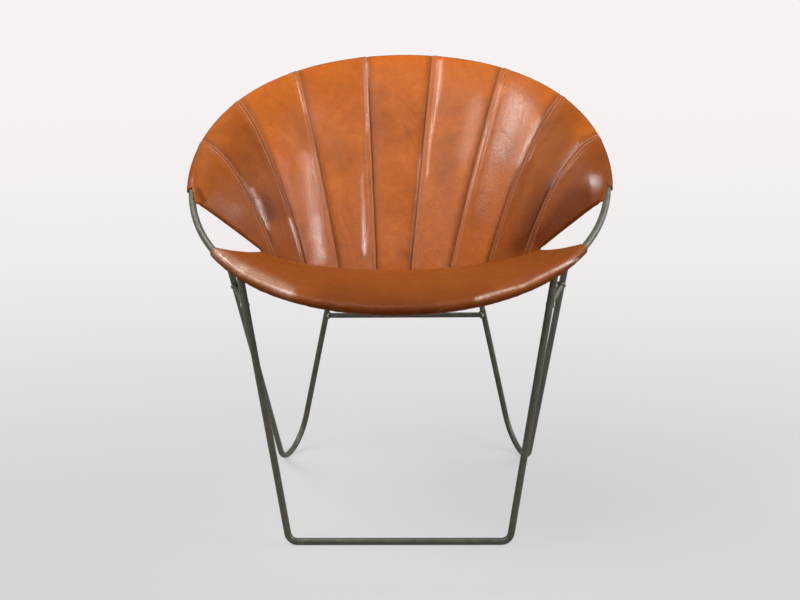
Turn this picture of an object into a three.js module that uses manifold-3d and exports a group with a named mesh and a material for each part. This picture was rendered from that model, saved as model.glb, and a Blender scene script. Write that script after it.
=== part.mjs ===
// Round sling chair: a leather bucket hung in a tilted steel hoop on bent-rod legs.
// Millimetres, +Z up, floor at zero, the sitter faces -Y, the origin under the hoop's centre.
import * as THREE from 'three';
import { mergeVertices } from 'three/addons/utils/BufferGeometryUtils.js';
import Module from 'manifold-3d';

const wasm = await Module();
wasm.setup();

const radians = THREE.MathUtils.degToRad;

// Rim hoop: one round rod, almost a circle, tilted up towards the back
const hoopRadius = 365;
const hoopRodDiameter = 12;
const hoopCentreHeight = 592;
const hoopTilt = radians(29.5);
const hoopEggShare = 0.005;
const hoopSquareShare = 0.012;

// Front leg loop: one rod, down from the hoop, along the floor and up again
const frontRodDiameter = 12;
const frontLegHoopAngle = radians(44);
const frontFootHalfWidth = 184.7;
const frontFootForward = 248.5;
const frontBendRadius = 17;

// Rear legs: each one rod from the front of the hoop, round a floor bend, up to its back
const rearRodDiameter = 11;
const rearLegHoopAngle = radians(48);
const rearFootHalfWidth = 232;
const rearFootBack = 325;
const rearBendRadius = 68;
const uprightHoopAngle = radians(172.2);

// Crossbar between the uprights, and a short brace on each side
const crossbarDiameter = 10;
const crossbarHeight = 271;
const braceDiameter = 10;
const braceRearDrop = 54;
const braceFrontDrop = 57;

// Floor flats, weld beads and the gap between neighbouring pieces
const footFlatDepth = 0.3;
const weldBeadRadius = 2;
const weldBeadStandoff = 0.6;
const pieceGap = 0.3;

// Leather: one thickness, wrapped round the hoop and glued back under itself
const leatherThickness = 2.4;
const leatherGap = 0.7;
const hemFoldReach = 13;
const hemEndReach = 25;
const legHoleClearance = 0.8;

// Back fan: nine panels, their seams at even angles round the back of the hoop
const fanPanels = 9;
const fanPanelAngle = radians(21.6);
const fanDrift = radians(0.9);
const fanEdgeAngle = radians(82.8);
const fanEdgeSkew = 40.77;
const fanSkewShare = 0.415;
const fanLiftAngle = radians(69);
const fanCentreBow = 3;
const fanInnerBow = 11;
const fanOuterBow = 32;
const fanEndBow = 35;
const fanCrownShare = 0.046;
const fanCrownFullShare = 0.2;
const fanCrownFallShare = 0.82;

// Seat panel: from the front of the hoop down to the crease
const seatHalfAngle = radians(57.2);
const seatCentreDip = radians(19.8);
const seatSideDip = radians(36.8);
const seatFrontReachShare = 0.528;
const seatBackReachShare = 0.238;
const seatCreaseRise = radians(51.5);
const seatCreaseSplayShare = 0.379;

// Crease: the curve where the seat and the fan are sewn together, and its turned-down seam
const creaseSideInset = 125;
const creaseCentreShift = 16;
const creaseCentreBack = 80;
const creaseCentreHeight = 360;
const creaseEndHeight = 452.7;
const creaseSeamDepth = 12;
const creaseSeamShares = [0.142, 0.41, 0.68, 0.955];

// Lapped seams between the fan's panels, narrower where a panel runs out
const lapWidth = 11;
const lapLimitShare = 0.2;

// Facet counts
const rodSides = 12;
const beadSides = 6;
const beadStations = 14;
const smallBendSteps = 6;
const largeBendSteps = 14;
const panelColumns = 5;
const seatColumns = 20;
const bareColumns = 5;
const wrapSteps = 12;
const runShares = [0.2, 0.34, 0.5, 0.66, 0.82, 1];

const hoopRodRadius = hoopRodDiameter / 2;
const wrapRadius = hoopRodRadius + leatherGap + leatherThickness / 2;
const layerPitch = leatherThickness + leatherGap;
const creaseHalfWidth = hoopRadius - creaseSideInset;

// The hoop's own axes: across the chair, up the slope to the back, and square to its plane
const across = new THREE.Vector3(1, 0, 0);
const upSlope = new THREE.Vector3(0, Math.cos(hoopTilt), Math.sin(hoopTilt));
const hoopNormal = new THREE.Vector3(0, -Math.sin(hoopTilt), Math.cos(hoopTilt));
const down = new THREE.Vector3(0, 0, -1);

const steel = { color: 0x4f4f47, roughness: 0.42, metalness: 0.9 };
const weldSteel = { color: 0x5a5750, roughness: 0.55, metalness: 0.9 };
const leather = { color: 0xa0501c, roughness: 0.38, metalness: 0 };

const chair = new THREE.Group();

// Adds a solid to the chair as its own named mesh
function addPiece(name, solid, finish) {
  const mesh = new THREE.Mesh(toGeometry(solid), new THREE.MeshStandardMaterial(finish));
  mesh.name = name;
  chair.add(mesh);
}

// Turns a closed geometry into a solid that can be cut
function toSolid(geometry) {
  const bare = geometry.clone();
  bare.deleteAttribute('normal');
  bare.deleteAttribute('uv');
  const merged = mergeVertices(bare, 1e-4);
  const vertProperties = Float32Array.from(merged.attributes.position.array);
  const triVerts = Uint32Array.from(merged.index.array);
  return new wasm.Manifold(new wasm.Mesh({ numProp: 3, vertProperties, triVerts }));
}

// Turns a solid back into a geometry with its own normals
function toGeometry(solid) {
  const mesh = solid.getMesh();
  const geometry = new THREE.BufferGeometry();
  geometry.setAttribute('position', new THREE.BufferAttribute(mesh.vertProperties, 3));
  geometry.setIndex(new THREE.BufferAttribute(mesh.triVerts, 1));
  geometry.computeVertexNormals();
  return geometry;
}

// A closed surface from a grid of points: both ways round for a ring
function ringGeometry(rings) {
  const sides = rings[0].length;
  const index = [];
  rings.forEach((ring, i) => {
    const here = i * sides;
    const next = ((i + 1) % rings.length) * sides;
    for (let j = 0; j < sides; j += 1) {
      const k = (j + 1) % sides;
      index.push(here + j, next + k, next + j, here + j, here + k, next + k);
    }
  });
  return pointsGeometry(rings.flat(), index);
}

// A closed sheet from two grids of points, the grain side and the flesh side
function sheetGeometry(grain, flesh) {
  const rows = grain.length;
  const columns = grain[0].length;
  const at = (layer, i, j) => layer * rows * columns + i * columns + j;
  const index = [];
  const quad = (a, b, c, d) => index.push(a, b, c, a, c, d);
  for (let i = 0; i < rows - 1; i += 1) {
    for (let j = 0; j < columns - 1; j += 1) {
      quad(at(0, i, j), at(0, i + 1, j), at(0, i + 1, j + 1), at(0, i, j + 1));
      quad(at(1, i, j), at(1, i, j + 1), at(1, i + 1, j + 1), at(1, i + 1, j));
    }
  }
  for (let i = 0; i < rows - 1; i += 1) {
    const last = columns - 1;
    quad(at(0, i, 0), at(1, i, 0), at(1, i + 1, 0), at(0, i + 1, 0));
    quad(at(0, i, last), at(0, i + 1, last), at(1, i + 1, last), at(1, i, last));
  }
  for (let j = 0; j < columns - 1; j += 1) {
    const last = rows - 1;
    quad(at(0, 0, j), at(0, 0, j + 1), at(1, 0, j + 1), at(1, 0, j));
    quad(at(0, last, j), at(1, last, j), at(1, last, j + 1), at(0, last, j + 1));
  }
  return pointsGeometry([...grain.flat(), ...flesh.flat()], index);
}

function pointsGeometry(points, index) {
  const geometry = new THREE.BufferGeometry().setFromPoints(points);
  geometry.setIndex(index);
  return geometry;
}

// Hoop: its centreline, its outward direction and a point on a circle round its rod
function hoopCentre(angle) {
  const wave = hoopEggShare * Math.cos(3 * angle) + hoopSquareShare * Math.cos(4 * angle);
  const radius = hoopRadius * (1 - wave);
  return new THREE.Vector3(0, 0, hoopCentreHeight).addScaledVector(hoopOutward(angle), radius);
}

function hoopOutward(angle) {
  const outward = across.clone().multiplyScalar(Math.sin(angle));
  return outward.addScaledVector(upSlope, -Math.cos(angle));
}

function hoopAround(angle, turn) {
  const direction = hoopOutward(angle).multiplyScalar(Math.cos(turn));
  return direction.addScaledVector(hoopNormal, Math.sin(turn));
}

function hoopTangent(angle) {
  const step = radians(0.1);
  return hoopCentre(angle + step).sub(hoopCentre(angle - step)).normalize();
}

function evenSteps(from, to, count) {
  return Array.from({ length: count + 1 }, (_, i) => from + (to - from) * (i / count));
}

// Where a fan angle, counted from the back to +X, lies on the hoop: seams drift a little,
// and the last panel on each side ends at the edge angle
function fanHoopAngle(fanAngle, edgeAngle) {
  const side = Math.sign(fanAngle);
  const beyond = Math.max(Math.abs(fanAngle) / fanPanelAngle - (fanPanels / 2 - 1), 0);
  const even = Math.PI + fanDrift - fanAngle;
  if (beyond === 0) return even;
  const lastSeam = Math.PI + fanDrift - side * (fanPanels / 2 - 1) * fanPanelAngle;
  const edge = side > 0 ? edgeAngle : 2 * Math.PI - edgeAngle;
  return lastSeam + (edge - lastSeam) * beyond;
}

function fanBoundary(seam) {
  return (seam - fanPanels / 2) * fanPanelAngle;
}

// Angles where both the hoop and the leather on it have their facets
const seatAngles = evenSteps(-seatHalfAngle, seatHalfAngle, seatColumns);

function hoopAngles() {
  const fan = evenSteps(fanBoundary(fanPanels), fanBoundary(0), fanPanels * panelColumns)
    .map((fanAngle) => fanHoopAngle(fanAngle, fanEdgeAngle));
  const fanEnd = fan[fan.length - 1];
  return [
    ...seatAngles,
    ...evenSteps(seatHalfAngle, fan[0], bareColumns).slice(1, -1),
    ...fan,
    ...evenSteps(fanEnd, 2 * Math.PI - seatHalfAngle, bareColumns).slice(1, -1),
  ];
}

function hoopSolid(radius) {
  const rings = hoopAngles().map((angle) => evenSteps(0, 2 * Math.PI, rodSides).slice(0, -1)
    .map((turn) => hoopCentre(angle).addScaledVector(hoopAround(angle, -turn), radius)));
  return toSolid(ringGeometry(rings));
}

// A bent rod's centreline, met exactly at its own knots
class RodPath extends THREE.Curve {
  constructor(knots) {
    super();
    this.knots = knots;
  }

  getPointAt(share, target = new THREE.Vector3()) {
    const place = share * (this.knots.length - 1);
    const i = Math.min(Math.floor(place), this.knots.length - 2);
    return target.lerpVectors(this.knots[i], this.knots[i + 1], place - i);
  }

  getTangentAt(share, target = new THREE.Vector3()) {
    const i = Math.round(share * (this.knots.length - 1));
    const before = this.knots[Math.max(i - 1, 0)];
    const after = this.knots[Math.min(i + 1, this.knots.length - 1)];
    const here = this.knots[i];
    const out = after.clone().sub(here).normalize();
    return target.copy(here).sub(before).normalize().add(out).normalize();
  }
}

// Knots of a rod through corners that are rounded with one bend radius
function roundedKnots(corners, bendRadius, bendSteps) {
  const knots = [corners[0]];
  for (let i = 1; i < corners.length - 1; i += 1) {
    const back = corners[i - 1].clone().sub(corners[i]).normalize();
    const on = corners[i + 1].clone().sub(corners[i]).normalize();
    const half = back.angleTo(on) / 2;
    const centreLine = back.clone().add(on).normalize();
    const centre = corners[i].clone().addScaledVector(centreLine, bendRadius / Math.sin(half));
    const side = on.clone().sub(back).normalize();
    const sweep = Math.PI / 2 - half;
    evenSteps(-sweep, sweep, bendSteps).forEach((turn) => {
      const knot = centre.clone().addScaledVector(centreLine, -bendRadius * Math.cos(turn));
      knots.push(knot.addScaledVector(side, bendRadius * Math.sin(turn)));
    });
  }
  knots.push(corners[corners.length - 1]);
  return knots;
}

function rodSolid(knots, radius) {
  const turns = evenSteps(0, 2 * Math.PI, rodSides).slice(0, -1);
  const corners = turns.map((turn) => new THREE.Vector2(Math.cos(turn), Math.sin(turn)));
  const section = new THREE.Shape(corners.map((corner) => corner.multiplyScalar(radius)));
  const extrudePath = new RodPath(knots);
  const steps = knots.length - 1;
  return toSolid(new THREE.ExtrudeGeometry(section, { steps, extrudePath }));
}

// A block under the floor that wears a small flat on each rod that stands on it
function floorBlock() {
  const size = 4 * hoopRadius;
  return toSolid(new THREE.BoxGeometry(size, size, size).translate(0, 0, -size / 2));
}

// Rear leg: the corner's height makes the bend's lowest point stand on the floor
function rearCorners(side) {
  const top = hoopCentre(side * rearLegHoopAngle);
  const head = hoopCentre(side * uprightHoopAngle);
  const corner = new THREE.Vector3(side * rearFootHalfWidth, rearFootBack, 0);
  const footHeight = rearRodDiameter / 2 - footFlatDepth;
  for (let pass = 0; pass < 20; pass += 1) {
    const forward = top.clone().sub(corner).normalize();
    const up = head.clone().sub(corner).normalize();
    const half = forward.angleTo(up) / 2;
    const plane = forward.clone().cross(up).normalize();
    const reach = forward.clone().add(up).normalize().z * rearBendRadius / Math.sin(half);
    const fall = rearBendRadius * Math.sqrt(1 - plane.z * plane.z);
    corner.z = footHeight - reach + fall;
  }
  return [top, corner, head];
}

// Where two round rods meet, the bead follows the curve that both surfaces share
function beadSolid(meeting, target, branch, targetRadius, branchRadius) {
  const first = new THREE.Vector3().crossVectors(branch, target).normalize();
  const second = new THREE.Vector3().crossVectors(first, branch).normalize();
  const flat = (vector) => vector.clone().addScaledVector(target, -vector.dot(target));
  const rise = flat(branch);
  const reach = targetRadius + weldBeadStandoff;
  const rings = evenSteps(0, 2 * Math.PI, beadStations).slice(0, -1).map((turn) => {
    const outward = first.clone().multiplyScalar(Math.cos(turn));
    outward.addScaledVector(second, Math.sin(turn));
    const foot = outward.clone().multiplyScalar(branchRadius + weldBeadStandoff);
    const start = flat(foot);
    const slope = start.dot(rise);
    const room = slope * slope - rise.lengthSq() * (start.lengthSq() - reach * reach);
    const along = (Math.sqrt(Math.max(room, 0)) - slope) / rise.lengthSq();
    const middle = meeting.clone().add(foot).addScaledVector(branch, along);
    return evenSteps(0, 2 * Math.PI, beadSides).slice(0, -1).map((roll) => middle.clone()
      .addScaledVector(outward, weldBeadRadius * Math.cos(roll))
      .addScaledVector(branch, weldBeadRadius * Math.sin(roll)));
  });
  return toSolid(ringGeometry(rings));
}

// Steel frame
const hoopBody = hoopSolid(hoopRodRadius);
const hoopClear = hoopSolid(hoopRodRadius + pieceGap);
const floor = floorBlock();

const frontFootHeight = frontRodDiameter / 2 - footFlatDepth;
const frontCorner = (side) => new THREE.Vector3(
  side * frontFootHalfWidth,
  -frontFootForward,
  frontFootHeight,
);
const frontTop = (side) => hoopCentre(side * frontLegHoopAngle);
const frontKnots = roundedKnots(
  [frontTop(-1), frontCorner(-1), frontCorner(1), frontTop(1)],
  frontBendRadius,
  smallBendSteps,
);
const frontRadius = frontRodDiameter / 2;
const rearRadius = rearRodDiameter / 2;
const crossbarRadius = crossbarDiameter / 2;
const braceRadius = braceDiameter / 2;
const frontClear = rodSolid(frontKnots, frontRadius + pieceGap);

addPiece('rim_hoop', hoopBody, steel);
addPiece('front_leg_loop', rodSolid(frontKnots, frontRadius).subtract(hoopClear).subtract(floor), steel);

// A point on the line between two points, at a set distance from the first
function along(from, to, distance) {
  return from.clone().addScaledVector(to.clone().sub(from).normalize(), distance);
}

function direction(from, to) {
  return to.clone().sub(from).normalize();
}

// A bead round a branch rod's end, clear of both rods
function addBead(name, meeting, target, branch, targetRadius, branchRadius, targetClear, branchClear) {
  const bead = beadSolid(meeting, target, branch, targetRadius, branchRadius);
  addPiece(name, bead.subtract(targetClear).subtract(branchClear), weldSteel);
}

const legHoles = { seat: [], back: [] };

// A hole through the wrapped leather where a rod leaves the hoop
function legHole(meeting, branch, rodRadius) {
  const radius = rodRadius + weldBeadStandoff + weldBeadRadius + legHoleClearance;
  const length = 2 * (wrapRadius + hemEndReach);
  const start = meeting.clone().addScaledVector(branch, -2 * weldBeadRadius);
  return rodSolid([start, meeting.clone().addScaledVector(branch, length)], radius);
}

const uprightClears = [];
const uprightPlaces = [];
for (const [side, hand] of [[-1, 'left'], [1, 'right']]) {
  const corners = rearCorners(side);
  const [top, corner, head] = corners;
  const knots = roundedKnots(corners, rearBendRadius, largeBendSteps);
  const rearClear = rodSolid(knots, rearRadius + pieceGap);
  addPiece(`rear_leg_${hand}`, rodSolid(knots, rearRadius).subtract(hoopClear).subtract(floor), steel);
  uprightClears.push(rearClear);
  uprightPlaces.push(along(head, corner, (head.z - crossbarHeight) / -direction(head, corner).z));

  const legDirection = direction(frontTop(side), frontCorner(side));
  const rearDirection = direction(top, corner);
  const headDirection = direction(head, corner);
  const legTangent = hoopTangent(side * frontLegHoopAngle);
  const rearTangent = hoopTangent(side * rearLegHoopAngle);
  const headTangent = hoopTangent(side * uprightHoopAngle);
  addBead(`weld_front_leg_${hand}`, frontTop(side), legTangent, legDirection,
    hoopRodRadius, frontRadius, hoopClear, frontClear);
  addBead(`weld_rear_leg_${hand}`, top, rearTangent, rearDirection,
    hoopRodRadius, rearRadius, hoopClear, rearClear);
  addBead(`weld_upright_${hand}`, head, headTangent, headDirection,
    hoopRodRadius, rearRadius, hoopClear, rearClear);
  legHoles.seat.push(legHole(frontTop(side), legDirection, frontRadius));
  legHoles.seat.push(legHole(top, rearDirection, rearRadius));
  legHoles.back.push(legHole(head, headDirection, rearRadius));

  const braceRear = along(top, corner, braceRearDrop);
  const braceFront = along(frontTop(side), frontCorner(side), braceFrontDrop);
  const braceDirection = direction(braceRear, braceFront);
  const brace = rodSolid([braceRear, braceFront], braceRadius);
  const braceClear = rodSolid([braceRear, braceFront], braceRadius + pieceGap);
  addPiece(`side_brace_${hand}`, brace.subtract(frontClear).subtract(rearClear), steel);
  addBead(`weld_brace_rear_${hand}`, braceRear, rearDirection, braceDirection,
    rearRadius, braceRadius, rearClear, braceClear);
  addBead(`weld_brace_front_${hand}`, braceFront, legDirection, braceDirection.clone().negate(),
    frontRadius, braceRadius, frontClear, braceClear);
}

const crossbar = rodSolid(uprightPlaces, crossbarRadius);
const crossbarClear = rodSolid(uprightPlaces, crossbarRadius + pieceGap);
addPiece('rear_crossbar', crossbar.subtract(uprightClears[0]).subtract(uprightClears[1]), steel);
for (const [i, hand] of [[0, 'left'], [1, 'right']]) {
  const upright = direction(rearCorners(i ? 1 : -1)[2], rearCorners(i ? 1 : -1)[1]);
  addBead(`weld_crossbar_${hand}`, uprightPlaces[i], upright,
    direction(uprightPlaces[i], uprightPlaces[1 - i]),
    rearRadius, crossbarRadius, uprightClears[i], crossbarClear);
}

// Crease: a curve from one side of the bucket to the other, by its share of the half width
function creasePoint(share) {
  const middle = 1 - share * share;
  return new THREE.Vector3(
    creaseHalfWidth * share - creaseCentreShift * middle,
    creaseCentreBack * middle,
    creaseEndHeight + (creaseCentreHeight - creaseEndHeight) * middle,
  );
}

// The crease's seam hangs square to the crease: its downward and its backward direction
function creaseFrame(share) {
  const step = 0.001;
  const tangent = direction(creasePoint(share - step), creasePoint(share + step));
  const hang = down.clone().addScaledVector(tangent, -down.dot(tangent)).normalize();
  const back = new THREE.Vector3().crossVectors(tangent, hang).normalize();
  return { hang, back };
}

function creaseSide(share, sign) {
  return creasePoint(share).addScaledVector(creaseFrame(share).back, sign * layerPitch / 2);
}

// Values given at the fan's centre, its seams and its edges, joined by straight stretches
function acrossFan(fanAngle, values) {
  const place = Math.abs(fanAngle) / fanPanelAngle + 0.5;
  const i = Math.min(Math.floor(place), values.length - 2);
  return values[i] + (values[i + 1] - values[i]) * Math.min(place - i, 1);
}

// The fan's run at one angle: where it leaves the hoop, and how it bends down to the crease
function fanRun(fanAngle) {
  const angle = fanHoopAngle(fanAngle, fanEdgeAngle);
  const innerAngle = fanHoopAngle(fanAngle, fanEdgeAngle - fanEdgeSkew / hoopRadius);
  const shares = [-creaseSeamShares[0], ...creaseSeamShares, 1];
  const share = Math.sign(fanAngle) * acrossFan(fanAngle, shares);
  const bows = [fanCentreBow, fanCentreBow, fanInnerBow, fanOuterBow, fanEndBow, 0];
  const bow = acrossFan(fanAngle, bows);
  const end = creaseSide(share, 1);
  const inward = hoopOutward(innerAngle).multiplyScalar(-Math.cos(fanLiftAngle));
  inward.addScaledVector(hoopNormal, Math.sin(fanLiftAngle));
  const start = new THREE.Vector3();
  const control = new THREE.Vector3();
  let dip = hoopTilt;
  for (let pass = 0; pass < 12; pass += 1) {
    const leaving = hoopAround(innerAngle, Math.PI / 2 + dip);
    start.copy(hoopCentre(innerAngle)).addScaledVector(leaving, wrapRadius);
    control.copy(start).lerp(end, fanSkewShare).addScaledVector(inward, 2 * bow);
    const run = control.clone().sub(start);
    dip = Math.atan2(-run.dot(hoopNormal), -run.dot(hoopOutward(innerAngle)));
  }
  const curve = new THREE.QuadraticBezierCurve3(start, control, end);
  return { angle, innerAngle, dip, curve, share };
}

// The seat's run at one angle, from the front of the hoop back to the crease
function seatRun(angle) {
  const share = Math.sin(angle) / Math.sin(seatHalfAngle);
  const dip = seatCentreDip + (seatSideDip - seatCentreDip) * share * share;
  const start = hoopCentre(angle).addScaledVector(hoopAround(angle, Math.PI / 2 + dip), wrapRadius);
  const end = creaseSide(share, -1);
  const chord = start.distanceTo(end);
  const leave = hoopAround(angle, Math.PI + dip);
  const rise = new THREE.Vector3(
    seatCreaseSplayShare * share,
    -Math.cos(seatCreaseRise),
    Math.sin(seatCreaseRise),
  ).normalize();
  const first = start.clone().addScaledVector(leave, seatFrontReachShare * chord);
  const second = end.clone().addScaledVector(rise, seatBackReachShare * chord);
  const curve = new THREE.CubicBezierCurve3(start, first, second, end);
  return { angle, innerAngle: angle, dip, curve, share };
}

// One leather section from its glued hem, round the rod and along its run to the seam's hem.
// Each place has a point, the way the grain side faces, the way to the next section, how much
// of a lap there lies on the grain side, and how much of the panel's crown it has.
function section(runAt, place) {
  const step = radians(0.2);
  const run = runAt(place);
  const before = runAt(place - step);
  const after = runAt(place + step);
  const length = run.curve.getLength();
  const endShare = hemEndReach / length;
  const onRun = (share) => {
    const side = direction(before.curve.getPoint(share), after.curve.getPoint(share));
    const grain = side.clone().cross(run.curve.getTangent(share)).normalize();
    if (grain.dot(hoopNormal) < 0) grain.negate();
    const over = Math.min((1 - share) / (1 - endShare), 1);
    const rise = THREE.MathUtils.smoothstep(share, 0, fanCrownFullShare);
    const crown = rise * (1 - THREE.MathUtils.smoothstep(share, fanCrownFallShare, 1));
    return { point: run.curve.getPoint(share), grain, side, over, crown };
  };
  const [hemEnd, hemFold] = [endShare, hemFoldReach / length].map(onRun);
  [hemEnd, hemFold].forEach((hem) => {
    hem.point.addScaledVector(hem.grain, -layerPitch);
    hem.grain.negate();
    hem.crown = 0;
  });
  const innerCentre = hoopCentre(run.innerAngle);
  const offset = hemFold.point.clone().sub(innerCentre);
  const high = offset.dot(hoopNormal);
  const inner = -offset.dot(hoopOutward(run.innerAngle));
  const foldTurn = Math.PI - Math.atan2(high, inner);
  const joinTurn = foldTurn + Math.acos(wrapRadius / Math.hypot(high, inner)) - 2 * Math.PI;
  hemFold.grain.add(hoopAround(run.innerAngle, joinTurn)).normalize();
  const places = [hemEnd, hemFold];
  evenSteps(joinTurn, Math.PI / 2 + run.dip, wrapSteps).forEach((turn) => {
    const outerShare = Math.max(Math.cos(turn), 0);
    const angle = run.innerAngle + (run.angle - run.innerAngle) * outerShare;
    const grain = hoopAround(angle, turn);
    const point = hoopCentre(angle).addScaledVector(grain, wrapRadius);
    const side = hoopTangent(angle).multiplyScalar(Math.sign(after.angle - before.angle));
    places.push({ point, grain, side, over: 1, crown: 0 });
  });
  [hemFoldReach / length, endShare, ...runShares].forEach((share) => places.push(onRun(share)));
  const { hang, back } = creaseFrame(run.share);
  const facing = runAt === seatRun ? back.clone() : back.clone().negate();
  const last = places[places.length - 1];
  const point = last.point.clone().addScaledVector(hang, creaseSeamDepth);
  last.grain.add(facing).normalize();
  places.push({ point, grain: facing, side: last.side, over: 0, crown: 0 });
  return places;
}

// A section moved sideways and square to the leather, each by its own amount at each place
function moved(places, sideways, outwards) {
  return places.map(({ point, grain, side, over }, i) => ({
    point: point.clone().addScaledVector(side, sideways[i]).addScaledVector(grain, outwards(over)),
    grain,
  }));
}

// A panel of leather from its sections, half a thickness to each side
function leatherSolid(sections) {
  const rows = sections[0].length;
  const layer = (offset) => Array.from({ length: rows }, (_, i) => sections.map(
    (places) => places[i].point.clone().addScaledVector(places[i].grain, offset),
  ));
  return toSolid(sheetGeometry(layer(leatherThickness / 2), layer(-leatherThickness / 2)));
}

// Seams and free edges of the fan, and how far each lap reaches to either side at each place
const fanSeams = evenSteps(0, fanPanels, fanPanels)
  .map((seam) => section(fanRun, fanBoundary(seam)));
const lapReaches = fanSeams.map((places, seam) => places.map(({ point }, i) => {
  const neighbours = [fanSeams[seam - 1], fanSeams[seam + 1]].filter(Boolean);
  const room = neighbours.map((other) => lapLimitShare * other[i].point.distanceTo(point));
  return Math.min(lapWidth / 2, ...room);
}));

// The two sections at one end of a panel: its edge, and where its lap ends. A panel laps over
// its neighbour nearer the middle, and under its neighbour farther out.
function lapSections(panel, seam) {
  if (seam === 0 || seam === fanPanels) return [fanSeams[seam]];
  const towards = seam > panel ? 1 : -1;
  const isOver = seam > panel ? panel < (fanPanels - 1) / 2 : panel > (fanPanels - 1) / 2;
  const outwards = isOver ? (over) => layerPitch * over : (over) => layerPitch * (over - 1);
  const edge = lapReaches[seam].map((reach) => towards * reach);
  const end = lapReaches[seam].map((reach) => -towards * reach);
  return [moved(fanSeams[seam], edge, outwards), moved(fanSeams[seam], end, outwards)];
}

// A panel's section inside its seams, raised by the crown that the drawn leather takes: full
// over most of the width, and as high as its share of the width between the seams
function crownedSection(panel, share) {
  const fanAngle = fanBoundary(panel) + share * fanPanelAngle;
  const fullness = 1 - (2 * share - 1) ** 4;
  return section(fanRun, fanAngle).map((place, i) => {
    const width = fanSeams[panel][i].point.distanceTo(fanSeams[panel + 1][i].point);
    const height = fanCrownShare * width * fullness * place.crown;
    return { ...place, point: place.point.clone().addScaledVector(place.grain, height) };
  });
}

for (let panel = 0; panel < fanPanels; panel += 1) {
  const sections = [
    ...lapSections(panel, panel),
    ...evenSteps(0, 1, panelColumns).slice(1, -1).map((share) => crownedSection(panel, share)),
    ...lapSections(panel, panel + 1).reverse(),
  ];
  let solid = leatherSolid(sections);
  legHoles.back.forEach((hole) => { solid = solid.subtract(hole); });
  addPiece(`back_panel_${panel + 1}`, solid, leather);
}

let seat = leatherSolid(seatAngles.map((angle) => section(seatRun, angle)).reverse());
legHoles.seat.forEach((hole) => { seat = seat.subtract(hole); });
addPiece('seat_panel', seat, leather);

export default chair;
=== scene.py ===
# %% [markdown]
# # A round leather sling chair, one cell at a time
# The chair is a bucket of sewn leather hung in a tilted steel hoop, on legs bent from round rod.
# The measured frame comes in first, and everything else is placed from it with no fitting.

import math

import bpy
import numpy as np
from mathutils import Matrix, Vector


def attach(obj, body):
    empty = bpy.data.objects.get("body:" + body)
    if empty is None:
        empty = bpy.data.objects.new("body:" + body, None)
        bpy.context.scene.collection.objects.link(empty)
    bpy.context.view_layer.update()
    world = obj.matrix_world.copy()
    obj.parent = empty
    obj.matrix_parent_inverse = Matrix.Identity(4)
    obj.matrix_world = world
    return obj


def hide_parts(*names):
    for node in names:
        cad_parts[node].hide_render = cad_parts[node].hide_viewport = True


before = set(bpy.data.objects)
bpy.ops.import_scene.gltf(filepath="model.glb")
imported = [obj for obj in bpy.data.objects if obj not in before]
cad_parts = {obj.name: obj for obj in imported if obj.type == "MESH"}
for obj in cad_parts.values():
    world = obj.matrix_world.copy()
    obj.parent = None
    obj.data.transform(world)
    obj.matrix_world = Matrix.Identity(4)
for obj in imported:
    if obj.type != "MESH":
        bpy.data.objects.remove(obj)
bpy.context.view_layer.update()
MM = 0.001
TAU = 2 * math.pi

# %% [markdown]
# ## The camera
# The photograph was taken from a little above the rim, with a long lens a good 3 m away.
# A camera could be guessed by eye. Here its place, tilt and lens come from matching rods and
# seams whose real places are known, so the picture and the measured model agree.

# %% Camera
PICTURE_WIDE, PICTURE_HIGH = 800, 600
FOCAL_PIXELS = 1700.0
SENSOR_WIDTH_MM, FARTHEST = 36.0, 40.0
CAMERA_PLACE = Vector((0.0719, -2.9540, 0.9737))
CAMERA_PITCH = math.radians(11.6)
CAMERA_YAW = math.radians(-1.421)
CAMERA_ROLL = math.radians(-0.530)

forward = Vector((math.sin(CAMERA_YAW) * math.cos(CAMERA_PITCH),
                  math.cos(CAMERA_YAW) * math.cos(CAMERA_PITCH),
                  -math.sin(CAMERA_PITCH)))
level_right = Vector((math.cos(CAMERA_YAW), -math.sin(CAMERA_YAW), 0.0))
level_up = level_right.cross(forward)
camera_right = level_right * math.cos(CAMERA_ROLL) + level_up * math.sin(CAMERA_ROLL)
camera_up = level_up * math.cos(CAMERA_ROLL) - level_right * math.sin(CAMERA_ROLL)

camera_data = bpy.data.cameras.new("camera")
camera_data.sensor_fit = "HORIZONTAL"
camera_data.sensor_width = SENSOR_WIDTH_MM
camera_data.lens = FOCAL_PIXELS / PICTURE_WIDE * SENSOR_WIDTH_MM
camera_data.clip_end = FARTHEST
camera = bpy.data.objects.new("camera", camera_data)
bpy.context.scene.collection.objects.link(camera)
turned = Matrix((camera_right, camera_up, -forward)).transposed().to_4x4()
camera.matrix_world = Matrix.Translation(CAMERA_PLACE) @ turned
bpy.context.scene.camera = camera
print("lens, mm:", round(camera_data.lens, 2))


def image_place(points_m):
    """The pixel (across, down) where each point in metres shows in the picture."""
    away = points_m - np.array(CAMERA_PLACE)
    depth = away @ np.array(forward)
    u = PICTURE_WIDE / 2 + FOCAL_PIXELS * (away @ np.array(camera_right)) / depth
    v = PICTURE_HIGH / 2 - FOCAL_PIXELS * (away @ np.array(camera_up)) / depth
    return u, v


# %% [markdown]
# ## Small tools for every surface
# A shape here is a grid of points, worked out as whole arrays. One function turns a grid into
# a mesh. One colour function turns written hex values into the linear numbers that shaders use,
# and one function adds a shader node.

# %% Tools for numbers and meshes
def unit(vectors):
    """Each vector divided by its own length."""
    return vectors / np.maximum(np.linalg.norm(vectors, axis=-1, keepdims=True), 1e-9)


def dot(a, b):
    """The sum of products over the last axis."""
    return np.sum(a * b, axis=-1)


def gaps_along(points, axis=0):
    """How far each point lies from the next one, along an axis of the grid."""
    return np.linalg.norm(np.diff(points, axis=axis), axis=-1)


def ease(share):
    """A smooth step from 0 to 1: 3 s squared minus 2 s cubed, for s held between 0 and 1."""
    share = np.clip(share, 0.0, 1.0)
    return share * share * (3 - 2 * share)


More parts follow.
